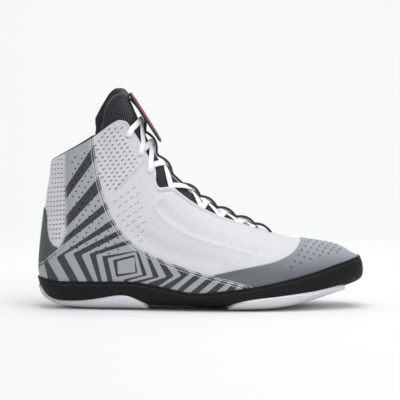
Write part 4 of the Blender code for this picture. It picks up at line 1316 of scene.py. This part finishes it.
# %% Sweeping flat cords
def smooth_path(spots, steps):
    """A smooth path through spots, each a row of numbers."""
    spots = np.array(spots, float)
    ends = np.concatenate([[2 * spots[0] - spots[1]], spots, [2 * spots[-1] - spots[-2]]])
    path = []
    for a, b, c, d in zip(ends, ends[1:], ends[2:], ends[3:]):
        for t in np.arange(steps) / steps:
            bends = (2 * a - 5 * b + 4 * c - d) * t**2 + (3 * b - a - 3 * c + d) * t**3
            path.append(0.5 * (2 * b + (c - a) * t + bends))
    return np.array(path + [spots[-1]])


def oval(sides, flat_power, high_power):
    """A squarish oval that reaches from -1 to 1 both ways."""
    angle = np.arange(sides) * 2 * pi / sides
    powers = ((np.cos(angle), flat_power), (np.sin(angle), high_power))
    return [np.sign(values) * np.abs(values) ** power for values, power in powers]


def tube_faces(rings, sides):
    """The faces of a closed tube of rings."""
    faces = [
        (i * sides + k, i * sides + (k + 1) % sides, (i + 1) * sides + (k + 1) % sides, (i + 1) * sides + k)
        for i in range(rings - 1)
        for k in range(sides)
    ]
    return faces + [tuple(range(sides))[::-1], tuple((rings - 1) * sides + k for k in range(sides))]


def flat_sweep(points, outwards, width, thickness, squareness=2.6, sides=14):
    """A flat oval along a path: its points, its closed faces and its cloth measure."""
    ahead = np.gradient(points, axis=0)
    ahead /= np.linalg.norm(ahead, axis=1, keepdims=True) + 1e-12
    across = np.cross(outwards, ahead)
    across /= np.linalg.norm(across, axis=1, keepdims=True) + 1e-12
    rise = np.cross(ahead, across)
    flat, high = oval(sides, 2 / squareness, 2 / squareness)
    flat, high = flat * width / 2, high * thickness / 2
    rings = points[:, None] + across[:, None] * flat[:, None] + rise[:, None] * high[:, None]
    length = np.concatenate([[0], np.cumsum(np.linalg.norm(np.diff(points, axis=0), axis=1))])
    measure = np.zeros((len(points), sides, 3))
    measure[:, :, 0] = flat * 1000
    measure[:, :, 1] = length[:, None] * 1000
    return rings.reshape(-1, 3), tube_faces(len(points), sides), measure.reshape(-1, 3)


# %% The lace
# Each way leads over or under an edge of the throat. Its columns are stations ahead of where
# it starts, metres from the edge outwards, and the height over the last.
Way = namedtuple("Way", "ahead from_edge height")
LACE_MIDDLE = LACE_SEAT + LACE_THICKNESS / 2
OVER_FLANGE = 0.0013
UNDER_FLANGE = -0.0034
UNDER_EDGE = [Way(0, 0.0045, -0.0026), Way(0, 0.0005, -0.0019), Way(0.1, -0.0030, LACE_MIDDLE)]
OUT_OF_EYELET = [
    Way(-0.02, EYELET_SETBACK, -0.0022),
    Way(0.02, EYELET_SETBACK - 0.0006, -0.0002),
    Way(0.12, EYELET_SETBACK - 0.0022, OVER_FLANGE),
    Way(0.32, 0.0014, OVER_FLANGE + 0.0001),
    Way(0.48, -0.0028, 0.0004),
]
INTO_EYELET = [
    Way(0, EYELET_SETBACK, -0.0016),
    Way(-0.03, EYELET_SETBACK - 0.0018, UNDER_FLANGE),
    Way(-0.06, 0.0005, UNDER_FLANGE),
    Way(-0.12, -0.0035, -0.0016),
]
LACE_FROM = {12.8: 12.8, 14.5: 14.2}
LACE_STEPS = 9


def over_edge(ways, station, side, slant=1):
    """The spots of a way that starts at a station, on one side of the throat."""
    spots = []
    for way in ways:
        at = np.array(station + slant * way.ahead)
        turn = throat_edge(at, side) + side * way.from_edge / girth(at, side)
        spots.append([float(at), float(turn), way.height])
    return spots


def lace_run(crossing, side, over):
    """One run of the lace, from one side of the throat over the tongue to the other."""
    if crossing.lower in LACE_FROM:
        start = over_edge(OUT_OF_EYELET, LACE_FROM[crossing.lower], side)
    else:
        start = over_edge(UNDER_EDGE, crossing.lower, side)
    if crossing.upper == EYELETS[-1]:
        end = over_edge(OUT_OF_EYELET, crossing.upper, -side)
    elif crossing.upper in EYELETS:
        end = over_edge(INTO_EYELET, crossing.upper, -side)
    else:
        end = over_edge(UNDER_EDGE, crossing.upper, -side, -0.5)
    straight = crossing.lower == crossing.upper
    middles = [] if straight else [[crossing.middle, 0.0, LACE_MIDDLE + over]]
    station, turn, height = smooth_path(start + middles + end[::-1], LACE_STEPS).T
    points = on_last(station, turn, height + tongue_bulge(station, turn))
    return flat_sweep(points, facing_at(station, turn), LACE_WIDTH, LACE_THICKNESS)


def make_lace():
    """All runs of the lace as one piece, the second of each crossing over the first."""
    pieces, length = [], 0.0
    for crossing in LACING:
        straight = crossing.lower == crossing.upper
        for side, over in ((-1, 0.0),) if straight else ((-1, 0.0), (1, LACE_OVER)):
            points, faces, measure = lace_run(crossing, side, over)
            pieces.append((points, faces, {"cloth": measure}))
            length += measure[:, 1].max() / 1000
    points, faces, fields = join(pieces)
    print(f"lace: {length:.2f} m shows or lies just under the edges")
    nodes = [f"lace_crossing_{i + 1}" for i in range(len(LACING))]
    return make_piece("woven_lace", points, faces, LACE_WEAVE, fields, nodes)


make_lace()


# %% The webbing that keeps the lace
KEEPER_SEEN = 0.0021
KEEPER_SQUARENESS = 4
KEEPER_SINKS = 0.0002
KEEPER_START = 6.6
KEEPER_TOP = 18.0
HINGE_DOWN = 0.004
HINGE_IN = 0.0012
STRAP_BOW = 0.0008
STRAP_STEPS = 20
COVER_STATION = 21.3
COVER_AIM = 14.0


def flap_frame():
    """The flap's top, and its directions down, across and out."""
    top = on_last(np.array(COVER_STATION), np.array(0.0), -UPPER_WALL)
    hang = on_last(np.array(COVER_AIM), np.array(0.0), COVER_STANDS_OFF)
    down = (hang - top) / np.linalg.norm(hang - top)
    out = np.cross(down, (0, 1, 0))
    out /= np.linalg.norm(out)
    return top, down, np.cross(out, down), out


def make_keeper():
    """The webbing: it arches over each crossing and runs up to the flap's hinge."""
    middles = np.array([crossing.middle for crossing in LACING])
    stations = even_stations(KEEPER_START, 11, 0.0006)[:-1]
    stations = np.concatenate([stations, np.arange(11, KEEPER_TOP, 0.02)])
    ridge = 0 * stations
    away = np.linalg.norm(on_last(stations, ridge)[:, None] - on_last(middles, 0 * middles)[None], axis=2)
    arch = np.clip(1 - away.min(axis=1) / ARCH_FOOT, 0, 1)
    arch = np.sin(arch * pi / 2) ** 0.9
    low = LACE_SEAT + KEEPER_SEEN / 2 - KEEPER_SINKS
    rise = 2 * LACE_THICKNESS + KEEPER_SINKS
    points = on_last(stations, ridge, low + tongue_bulge(stations, ridge) + rise * arch)
    top, down, _, out = flap_frame()
    hinge = top + down * HINGE_DOWN - out * HINGE_IN
    midway = points[-1] * 0.5 + hinge * 0.5 + out * STRAP_BOW
    strap = smooth_path([points[-1], midway, hinge], STRAP_STEPS)[1:]
    outwards = np.concatenate([facing_at(stations, ridge), np.tile(out, (len(strap), 1))])
    points = np.concatenate([points, strap])
    points, faces, measure = flat_sweep(points, outwards, WEBBING_WIDTH, KEEPER_SEEN, KEEPER_SQUARENESS)
    fields = {"cloth": measure}
    return make_piece("webbing_keeper", points, faces, WEBBING_WEAVE, fields, ["lace_keeper"])


keeper = make_keeper()
print("keeper:", len(keeper.data.polygons), "faces")

# %% [markdown]
# ## The flap over the lacing
#
# A padded flap hangs from the tongue's top over the knot. It is a soft-edged slab with a
# round end, drawn as rings that shrink towards its rounded sides, and a thin plain red
# stripe is printed down its face.


# %% Flap and stripe
SLAB_ROWS = 60
SLAB_SIDES = 40
SLAB_CROWN = 0.0003


def slab(start, length, width, thickness, corner, raised, soft):
    """A flat piece with round lower corners and soft edges, crowned towards its middle."""
    top, down, across, out = flap_frame()
    along = length * np.linspace(0, 1, SLAB_ROWS)
    drop = np.clip(along - (length - corner), 0, corner)
    half = width / 2 - corner + np.sqrt(np.maximum(corner**2 - drop**2, 0))
    ends = np.maximum(quarter_round((length - along) / soft), 0.05)
    flat, high = oval(SLAB_SIDES, 0.35, 0.6)
    points, measure = [], []
    for step, wide, end in zip(along, half, ends):
        crown = SLAB_CROWN * (1 - flat**2) * np.sin(pi * min(step / length + 0.15, 1)) * (high > 0)
        height = raised + thickness / 2 + high * thickness / 2 * end + crown
        place = top + down * (start + step)
        points.append(place + across * (flat * wide)[:, None] + out * height[:, None])
        measure.append(np.stack([flat * wide * 1000, 0 * flat + step * 1000, 0 * flat], 1))
    return np.concatenate(points), tube_faces(SLAB_ROWS, SLAB_SIDES), {"cloth": np.concatenate(measure)}


def stripe_material():
    """Plain red print on the flap."""
    material, tree, shader = new_material("red_printed_stripe", "#C8202A", 0.45)
    grain = speckle(tree, object_place(tree), 1800)
    paint(tree, shader, blend(tree, grain, "#B21A22", "#DD3039"))
    bump(tree, shader, grain, 0.00006)
    return material


def make_flap():
    """The flap, and the red stripe on its face."""
    points, faces, fields = slab(0, COVER_LENGTH, COVER_WIDTH, COVER_THICKNESS, COVER_CORNER, 0, 0.003)
    flap = make_piece("lace_flap", points, faces, COVER_CLOTH, fields, ["lace_cover"])
    length = COVER_LENGTH - 2 * STRIPE_INSET
    corner = STRIPE_WIDTH * COVER_CORNER / COVER_WIDTH
    points, faces, fields = slab(
        STRIPE_INSET, length, STRIPE_WIDTH, STRIPE_THICKNESS, corner, COVER_THICKNESS, 0.001
    )
    nodes = ["lace_cover_stripe"]
    make_piece("flap_stripe", points, faces, stripe_material(), fields, nodes)


make_flap()

# %% [markdown]
# ## Places on the side
#
# Stitches, holes and dimples are laid out as they look from the side, in shares of the
# shoe's length and of the instep's height. A search tree of the net's points finds the place
# on the last nearest to each, and three steps along the surface bring it exactly there. The
# photo shows the outer side alone, so the inner side repeats it.


# %% Finding places
SEARCH_TURNS = slice(12, NET_TURNS - 8)


def search_trees():
    trees = {}
    for side in (-1, 1):
        columns = np.arange(2 * NET_TURNS + 1)[SEARCH_TURNS]
        columns = columns if side < 0 else 2 * NET_TURNS - columns
        rows = np.arange(0, len(NET.stations), 2)
        tree = KDTree(len(rows) * len(columns))
        places = []
        for row in rows:
            for column in columns:
                x, _, z = NET.points[row, column]
                tree.insert((x, 0, z), len(places))
                places.append((NET.stations[row], column / NET_TURNS - 1))
        tree.balance()
        trees[side] = tree, np.array(places)
    return trees


SEARCH = search_trees()


def on_side(x, z, side):
    """The stations and turns of places seen from the side at x and z."""
    tree, places = SEARCH[side]
    found = places[[tree.find((a, 0, b))[1] for a, b in zip(x, z)]]
    station, turn = found[:, 0].copy(), found[:, 1].copy()
    for _ in range(3):
        here = on_last(station, turn)
        ahead = (on_last(station + 0.02, turn) - on_last(station - 0.02, turn)) / 0.04
        around = (on_last(station, turn + 0.004) - on_last(station, turn - 0.004)) / 0.008
        area = ahead[:, 0] * around[:, 2] - ahead[:, 2] * around[:, 0]
        area = np.where(np.abs(area) < 1e-6, 1e-6, area)
        gap_x, gap_z = x - here[:, 0], z - here[:, 2]
        station += np.clip((gap_x * around[:, 2] - gap_z * around[:, 0]) / area, -0.2, 0.2)
        turn += np.clip((ahead[:, 0] * gap_z - ahead[:, 2] * gap_x) / area, -0.02, 0.02)
    return station, turn


REACHED = 0.0005


def reached(line, station, turn):
    """Whether the places found lie where they were looked for, and not beyond the outline."""
    found = on_last(station, turn)[:, ::2]
    return np.linalg.norm(found - line, axis=1) < REACHED


def evenly(line, step=0.0006):
    """The same line with points step apart."""
    reach = np.concatenate([[0], np.cumsum(np.hypot(*np.diff(line, axis=0).T))])
    at = np.linspace(0, reach[-1], max(int(reach[-1] / step), 2))
    return np.stack([np.interp(at, reach, line[:, 0]), np.interp(at, reach, line[:, 1])], 1)


def moved_aside(line, distance):
    """The line moved sideways, to its left for a positive distance."""
    line = evenly(line)
    ahead = np.gradient(line, axis=0)
    ahead /= np.linalg.norm(ahead, axis=1, keepdims=True)
    return line + distance * np.stack([-ahead[:, 1], ahead[:, 0]], 1)


# %% [markdown]
# ## Trees that repeat threads and holes
#
# A seam is one short thread repeated along a line, and a perforated cloth one hole repeated
# over a grid. Geometry Nodes do both: points come from the line at an even spacing, or
# straight from the mesh, and each gets a small rounded shape turned to lie in the surface.


# %% The trees
def new_tree(name, numbers):
    tree = bpy.data.node_groups.new(name, "GeometryNodeTree")
    sockets = tree.interface
    sockets.new_socket(name="Geometry", in_out="INPUT", socket_type="NodeSocketGeometry")
    for number in numbers:
        sockets.new_socket(name=number, in_out="INPUT", socket_type="NodeSocketFloat")
    sockets.new_socket(name="Material", in_out="INPUT", socket_type="NodeSocketMaterial")
    sockets.new_socket(name="Geometry", in_out="OUTPUT", socket_type="NodeSocketGeometry")
    return tree, add(tree, "NodeGroupInput").outputs


def named_vector(tree, name):
    """The vector that each point of a mesh carries under a name."""
    inputs = {"Name": name}
    return add(tree, "GeometryNodeInputNamedAttribute", inputs, data_type="FLOAT_VECTOR").outputs[0]


def place_shapes(tree, given, points, ahead):
    """Puts a small rounded shape on each point, along ahead and flat in the surface."""
    facing = named_vector(tree, "facing")
    inputs = {"Primary Axis": facing, "Secondary Axis": ahead}
    turned = add(tree, "FunctionNodeAxesToRotation", inputs, primary_axis="Z", secondary_axis="X")
    number = add(tree, "GeometryNodeInputIndex").outputs[0]
    odd = maths(tree, "MODULO", number, 2.0)
    sign = maths(tree, "MULTIPLY_ADD", odd, 2.0, -1.0)
    slant = add(tree, "ShaderNodeCombineXYZ", {"Z": maths(tree, "MULTIPLY", sign, given["Slant"])})
    lean = add(tree, "FunctionNodeEulerToRotation", {0: slant.outputs[0]})
    inputs = {"Rotation": turned.outputs[0], "Rotate By": lean.outputs[0]}
    turned = add(tree, "FunctionNodeRotateRotation", inputs, rotation_space="LOCAL")
    size = {"X": given["Length"], "Y": given["Width"], "Z": given["Height"]}
    size = add(tree, "ShaderNodeCombineXYZ", size).outputs[0]
    ball = add(tree, "GeometryNodeMeshUVSphere", {"Segments": 8, "Rings": 4, "Radius": 0.5})
    inputs = {"Points": points, "Instance": ball.outputs[0], "Rotation": turned.outputs[0], "Scale": size}
    placed = add(tree, "GeometryNodeInstanceOnPoints", inputs)
    real = add(tree, "GeometryNodeRealizeInstances", {0: placed.outputs[0]})
    coloured = add(tree, "GeometryNodeSetMaterial", {0: real.outputs[0], "Material": given["Material"]})
    add(tree, "NodeGroupOutput", {0: coloured.outputs[0]})
    return tree


def stitch_tree():
    """Shapes at an even spacing along the edges of a mesh."""
    tree, given = new_tree("stitches_along_lines", ("Spacing", "Length", "Width", "Height", "Slant"))
    curve = add(tree, "GeometryNodeMeshToCurve", {0: given["Geometry"]})
    inputs = {"Curve": curve.outputs[0], "Length": given["Spacing"]}
    spots = add(tree, "GeometryNodeCurveToPoints", inputs, mode="LENGTH")
    return place_shapes(tree, given, spots.outputs["Points"], spots.outputs["Tangent"])


def hole_tree():
    """Shapes on the points of a mesh, along its attribute ahead."""
    tree, given = new_tree("holes_on_points", ("Length", "Width", "Height", "Slant"))
    return place_shapes(tree, given, given["Geometry"], named_vector(tree, "ahead"))


def grow(name, tree, settings, points, edges, fields):
    """Runs a tree on points and edges, and keeps what it makes as a plain mesh."""
    mesh = bpy.data.meshes.new(name + "_line")
    mesh.from_pydata(points.tolist(), edges, [])
    set_fields(mesh, fields)
    line = new_object(name + "_line", mesh)
    modifier = line.modifiers.new("shapes", "NODES")
    modifier.node_group = tree
    for socket in tree.interface.items_tree:
        if socket.in_out == "INPUT" and socket.name in settings:
            modifier[socket.identifier] = settings[socket.name]
    grown = line.evaluated_get(bpy.context.evaluated_depsgraph_get())
    made = bpy.data.meshes.new_from_object(grown)
    bpy.data.objects.remove(line)
    piece = new_object(name, made)
    piece.data.shade_smooth()
    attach(piece, "root")
    return piece


STITCHES = stitch_tree()
HOLES = hole_tree()


def plain_material(name, colour, roughness, sheen=0.0):
    """Thread or shade of one colour."""
    return new_material(name, colour, roughness, sheen)[0]


WHITE_THREAD = plain_material("white_thread", "#E4E4E8", 0.7, 0.2)
PALE_THREAD = plain_material("pale_grey_thread", "#C9CAD1", 0.75, 0.2)
GREY_THREAD = plain_material("grey_thread", "#6E7478", 0.75, 0.2)
DARK_THREAD = plain_material("dark_thread", "#33373A", 0.75, 0.2)
# The three shades of holes below are painted shade: dark shapes put where holes are.
HOLE_SHADE = plain_material("dark_of_a_hole", "#131315", 0.95)
KNIT_SHADE = plain_material("shade_in_a_knit_hole", "#74767F", 0.95)
KNIT_SOFT_SHADE = plain_material("soft_shade_in_the_knit", "#B5B7C0", 0.95)
print("trees:", STITCHES.name, HOLES.name)

# %% [markdown]
# ### Seams
#
# Each row is a line moved inwards from the border that it follows. The panel's front
# border has a cover stitch: two rows of white thread that lean to and fro, with needle holes
# painted dark as shade between them. The toe cap and the panel's back border have plain
# double rows, the heel counter a single one, and the cup has a row sunk in its groove.


# %% Rows of stitches
Stitch = namedtuple("Stitch", "spacing length width slant")
LEANING = Stitch(0.0016, 0.0017, 0.00055, 0.6)
NEEDLE_HOLE = Stitch(0.0016, 0.0009, 0.0007, 0.0)
PANEL_STITCH = Stitch(0.0020, 0.0013, 0.00055, 0.0)
COUNTER_STITCH = Stitch(0.0016, 0.0010, 0.00045, 0.0)
CAP_STITCH = Stitch(0.0019, 0.0014, 0.00055, 0.0)
CUP_STITCH = Stitch(0.0019, 0.0012, 0.0006, 0.0)
VAMP_STITCH = Stitch(0.0018, 0.0013, 0.0005, 0.0)
PANEL_LIFT = FIT_GAP + PANEL_THICKNESS
CAP_LIFT = FIT_GAP + TOE_CAP_THICKNESS
CUP_LIFT = FIT_GAP + RUBBER_WALL - 0.0002
counter_front = spots_line(COUNTER_FRONT)
toe_cap_back = spots_line(TOE_CAP_BACK)
Row = namedtuple("Row", "name line aside lift stitch thread slot")
ROWS_OF_STITCHES = [
    Row("cover_stitch_outer", panel_front, -0.0011, PANEL_LIFT, LEANING, WHITE_THREAD, "lace"),
    Row("cover_stitch_inner", panel_front, -0.0030, PANEL_LIFT, LEANING, WHITE_THREAD, "lace"),
    # The needle holes are dark shapes of painted shade.
    Row("cover_stitch_holes", panel_front, -0.0020, PANEL_LIFT, NEEDLE_HOLE, HOLE_SHADE, "panel_film"),
    Row("panel_back_row", panel_back, -0.0010, PANEL_LIFT, PANEL_STITCH, WHITE_THREAD, "lace"),
    Row("panel_back_second_row", panel_back, -0.0030, PANEL_LIFT, PANEL_STITCH, GREY_THREAD, "lace"),
    Row("counter_row", counter_front, -0.0016, PANEL_LIFT, COUNTER_STITCH, GREY_THREAD, "lace"),
    Row("toe_cap_row", toe_cap_back, -0.0020, CAP_LIFT, CAP_STITCH, DARK_THREAD, "lace"),
    Row("toe_cap_second_row", toe_cap_back, -0.0041, CAP_LIFT, CAP_STITCH, DARK_THREAD, "lace"),
    Row("cup_row", rubber_top, -CUP_STITCH_DEPTH, CUP_LIFT, CUP_STITCH, DARK_THREAD, "cup_rubber"),
]
VAMP_SEAMS = [
    through((0.317, 0.640), (0.418, 0.491), (0.480, 0.408), (0.559, 0.371), (0.621, 0.341)),
    through((0.439, 0.610), (0.511, 0.526), (0.613, 0.461), (0.657, 0.415)),
    through((0.708, 0.601), (0.700, 0.500), (0.686, 0.387)),
]
ROWS_OF_STITCHES += [
    Row(f"vamp_seam_{i + 1}", spots_line(seam), 0.0, 0.0, VAMP_STITCH, PALE_THREAD, "lace")
    for i, seam in enumerate(VAMP_SEAMS)
]
LONGEST_GAP = 0.004
STITCH_HEIGHT = 0.8
STITCH_STATIONS = (0.1, COLLAR_STATION - 0.05)
ABOVE_RUBBER = 0.0005


def seat_of(station, turn, lift):
    """How high a stitch or hole sits: lift on a panel, and the cloth's own folds where it is 0."""
    return lift + fold_rise(station, turn) * (lift == 0)


def make_row(row):
    """A row of stitches on both sides of the shoe."""
    points, edges, facings = [], [], []
    for side in (-1, 1):
        line = moved_aside(row.line, row.aside)
        station, turn = on_side(line[:, 0], line[:, 1], side)
        shown = (station > STITCH_STATIONS[0]) & (station < STITCH_STATIONS[1])
        shown &= reached(line, station, turn)
        if row.slot != "cup_rubber":
            shown &= line[:, 1] > height_on(rubber_top, line[:, 0]) + ABOVE_RUBBER
        station, turn = station[shown], turn[shown]
        start = sum(len(p) for p in points)
        places = on_last(station, turn, seat_of(station, turn, row.lift))
        gaps = np.linalg.norm(np.diff(places, axis=0), axis=1)
        edges += [(start + i, start + i + 1) for i, gap in enumerate(gaps) if gap < LONGEST_GAP]
        points.append(places)
        facings.append(facing_at(station, turn))
    stitch = row.stitch
    settings = {
        "Spacing": stitch.spacing, "Length": stitch.length, "Width": stitch.width,
        "Height": stitch.width * STITCH_HEIGHT, "Slant": stitch.slant, "Material": row.thread,
    }
    places, fields = np.concatenate(points), {"facing": np.concatenate(facings)}
    return grow(row.name, STITCHES, settings, places, edges, fields)


seams = [make_row(row) for row in ROWS_OF_STITCHES]
print("rows of stitches:", len(seams), "with", sum(len(s.data.polygons) for s in seams), "faces")

# %% [markdown]
# ### Holes
#
# The film is punched with round holes on a slanted grid. The knit opens into rows of small
# slots on the flange and behind the panel, and its vamp has pairs of finer ones that grow
# fainter towards the toe. Each is a shallow dark shape sunk in the surface, painted shade for
# the inside of the hole, because a cut hole would only show the dark lining below.


# %% Rows of holes
Grid = namedtuple("Grid", "name start across down region margin length width tilt lift pair shade slot")
FLANGE = through(
    (0.180, 1.300), (0.215, 1.395), (0.245, 1.430), (0.280, 1.410), (0.290, 1.320), (0.305, 1.200),
    (0.318, 1.120), (0.298, 1.060), (0.266, 0.975), (0.232, 0.880), (0.205, 0.930), (0.188, 1.100),
)
HEEL_MESH = through(
    (0.010, 1.160), (0.096, 1.215), (0.094, 0.700), (0.086, 0.530), (0.060, 0.510), (0.036, 0.620),
    (0.010, 0.880),
)
VAMP_NEAR = through(
    (0.232, 0.860), (0.252, 0.690), (0.300, 0.560), (0.330, 0.520), (0.345, 0.650), (0.330, 0.800),
    (0.318, 1.000), (0.290, 0.960),
)
VAMP_FAR = through(
    (0.335, 0.960), (0.340, 0.700), (0.330, 0.520), (0.380, 0.450), (0.500, 0.360), (0.640, 0.330),
    (0.690, 0.480), (0.600, 0.600), (0.500, 0.700), (0.430, 0.800),
)
PUNCHED = through(
    (0.098, 0.480), (0.100, 1.200), (0.180, 1.270), (0.205, 1.000), (0.250, 0.780), (0.310, 0.560),
    (0.240, 0.400), (0.130, 0.420),
)
VAMP_GRID = ((0.260, 0.800), (0.0180, 0.0320), (0.0135, -0.0385))
GRIDS = [
    Grid("punched_film_holes", (0.128, 1.001), (0.01896, -0.00858), (-0.00917, -0.03894), PUNCHED, 0.0030,
         0.0017, 0.0017, 0.0, PANEL_LIFT, 0.0, HOLE_SHADE, "panel_film"),
    Grid("flange_slots", (0.250, 1.150), (0.0108, 0.0324), (0.0072, -0.0294), FLANGE, 0.0010,
         0.0036, 0.0014, 0.55, 0.0, 0.0, KNIT_SHADE, "knit"),
    Grid("heel_slots", (0.050, 0.900), (0.0104, 0.0035), (-0.0004, -0.0355), HEEL_MESH, 0.0008,
         0.0027, 0.0014, -0.1, 0.0, 0.0, KNIT_SHADE, "knit"),
    Grid("near_vamp_slots", *VAMP_GRID, VAMP_NEAR, 0.0006,
         0.0018, 0.0010, 0.55, 0.0, 0.0020, KNIT_SHADE, "knit"),
    Grid("far_vamp_slots", *VAMP_GRID, VAMP_FAR, 0.0006,
         0.0011, 0.00060, 0.55, 0.0, 0.0016, KNIT_SOFT_SHADE, "knit"),
]
GRID_REACH = 60
EYELET_CLEAR = 0.0052
FRONT_CLEAR = 0.0050
BACK_CLEAR = 0.0042
HOLE_HEIGHT = 0.0003
HOLE_SUNK = 0.00005
HOLE_LAST_STATION = COLLAR_STATION - 0.1
HOLE_LAST_TURN = 0.93


def grid_spots(grid):
    """The side-view places of a grid inside its region."""
    count = np.arange(-GRID_REACH, GRID_REACH + 1)
    i, j = (k.ravel() for k in np.meshgrid(count, count))
    spots = in_metres(np.array(grid.start) + np.outer(i, grid.across) + np.outer(j, grid.down))
    spots = spots[depth_inside(in_metres(grid.region), spots[:, 0], spots[:, 1]) > grid.margin]
    if grid.pair:
        aside = np.array([np.cos(grid.tilt), np.sin(grid.tilt)]) * grid.pair / 2
        spots = np.concatenate([spots - aside, spots + aside])
    return spots


def make_holes(grid):
    """The holes of a grid on both sides of the shoe."""
    points, facings = [], []
    spots = grid_spots(grid)
    for side in (-1, 1):
        station, turn = on_side(spots[:, 0], spots[:, 1], side)
        shown = (station < HOLE_LAST_STATION) & (np.abs(turn) < HOLE_LAST_TURN)
        shown &= reached(spots, station, turn)
        if grid.slot == "panel_film":
            shown &= distance_to(panel_front, spots[:, 0], spots[:, 1]) > FRONT_CLEAR
            shown &= distance_to(panel_back, spots[:, 0], spots[:, 1]) > BACK_CLEAR
        for centre, _ in eyelet_places():
            shown &= np.linalg.norm(on_last(station, turn) - centre, axis=1) > EYELET_CLEAR
        station, turn = station[shown], turn[shown]
        points.append(on_last(station, turn, seat_of(station, turn, grid.lift) - HOLE_SUNK))
        facings.append(facing_at(station, turn))
    points, facings = np.concatenate(points), np.concatenate(facings)
    ahead = np.array([np.cos(grid.tilt), 0, np.sin(grid.tilt)])
    fields = {"facing": facings, "ahead": np.tile(ahead, (len(points), 1))}
    settings = {
        "Length": grid.length, "Width": grid.width, "Height": HOLE_HEIGHT,
        "Slant": 0.0, "Material": grid.shade,
    }
    return grow(grid.name, HOLES, settings, points, [], fields)


holes = [make_holes(grid) for grid in GRIDS]
print("holes:", [len(h.data.polygons) // 32 for h in holes])

# %% [markdown]
# ## Light, floor and camera
#
# The shoe stands on a pale floor in soft studio light, seen from its outer side. The lens is
# long and the camera far away, so that the side hardly tapers.


# %% Studio
FLOOR_HALF = 4.0
WALL_START = 1.0
WALL_BEND = 1.2
WALL_TOP = 5.0
ROOM_LIGHT = 0.60
STUDIO_LIGHTS = [
    ("soft_light_above", (0.15, -0.35, 1.3), (0, 0, 0.05), 0.9, 10.5),
    ("soft_light_front", (0.7, -1.5, 1.2), (0, 0, 0.08), 0.9, 6.0),
    ("wall_light", (0.0, 0.7, 1.8), (0, 2.2, 0.9), 1.6, 18.0),
]


def make_studio():
    """A pale floor that curves up into a wall, three soft lamps and a bright room."""
    curve = np.linspace(0, pi / 2, 13)
    profile = [(-FLOOR_HALF, 0.0)]
    profile += [(WALL_START + WALL_BEND * np.sin(a), WALL_BEND * (1 - np.cos(a))) for a in curve]
    profile.append((WALL_START + WALL_BEND, WALL_TOP))
    corners = [(x, y, z) for y, z in profile for x in (-FLOOR_HALF, FLOOR_HALF)]
    faces = [(2 * i, 2 * i + 1, 2 * i + 3, 2 * i + 2) for i in range(len(profile) - 1)]
    mesh = bpy.data.meshes.new("studio_floor")
    mesh.from_pydata(corners, [], faces)
    mesh.shade_smooth()
    floor = new_object("studio_floor", mesh)
    mesh.materials.append(new_material("pale_floor", "#E9E9E8", 0.9)[0])
    world = bpy.data.worlds.new("studio")
    bpy.context.scene.world = world
    bpy.context.scene.view_settings.view_transform = "Standard"
    world.use_nodes = True
    backdrop = world.node_tree.nodes["Background"]
    backdrop.inputs["Color"].default_value = linear("#F3F5F8")
    backdrop.inputs["Strength"].default_value = ROOM_LIGHT
    for lamp_name, place, aim, size, power in STUDIO_LIGHTS:
        lamp = bpy.data.lights.new(lamp_name, "AREA")
        lamp.energy = power
        lamp.size = size
        light = new_object(lamp_name, lamp)
        light.location = place
        light.rotation_euler = (Vector(aim) - Vector(place)).to_track_quat("-Z", "Y").to_euler()


make_studio()

# %% Camera
CAMERA_DISTANCE = 1.76
CAMERA_HEIGHT_ANGLE = 3.0
CAMERA_TARGET = (0.0, 0.0, 0.088)
FRAME_WIDTH = 0.3518
FRAME_SHIFT = 0.018
camera_data = bpy.data.cameras.new("side_view")
camera_data.lens = camera_data.sensor_width * CAMERA_DISTANCE / FRAME_WIDTH
camera_data.shift_y = FRAME_SHIFT
camera = new_object("side_view", camera_data)
tilt = np.radians(CAMERA_HEIGHT_ANGLE)
back_from_target = CAMERA_DISTANCE * np.array([0, -np.cos(tilt), np.sin(tilt)])
camera.location = np.array(CAMERA_TARGET) + back_from_target
camera.rotation_euler = (pi / 2 - tilt, 0, 0)
bpy.context.scene.camera = camera
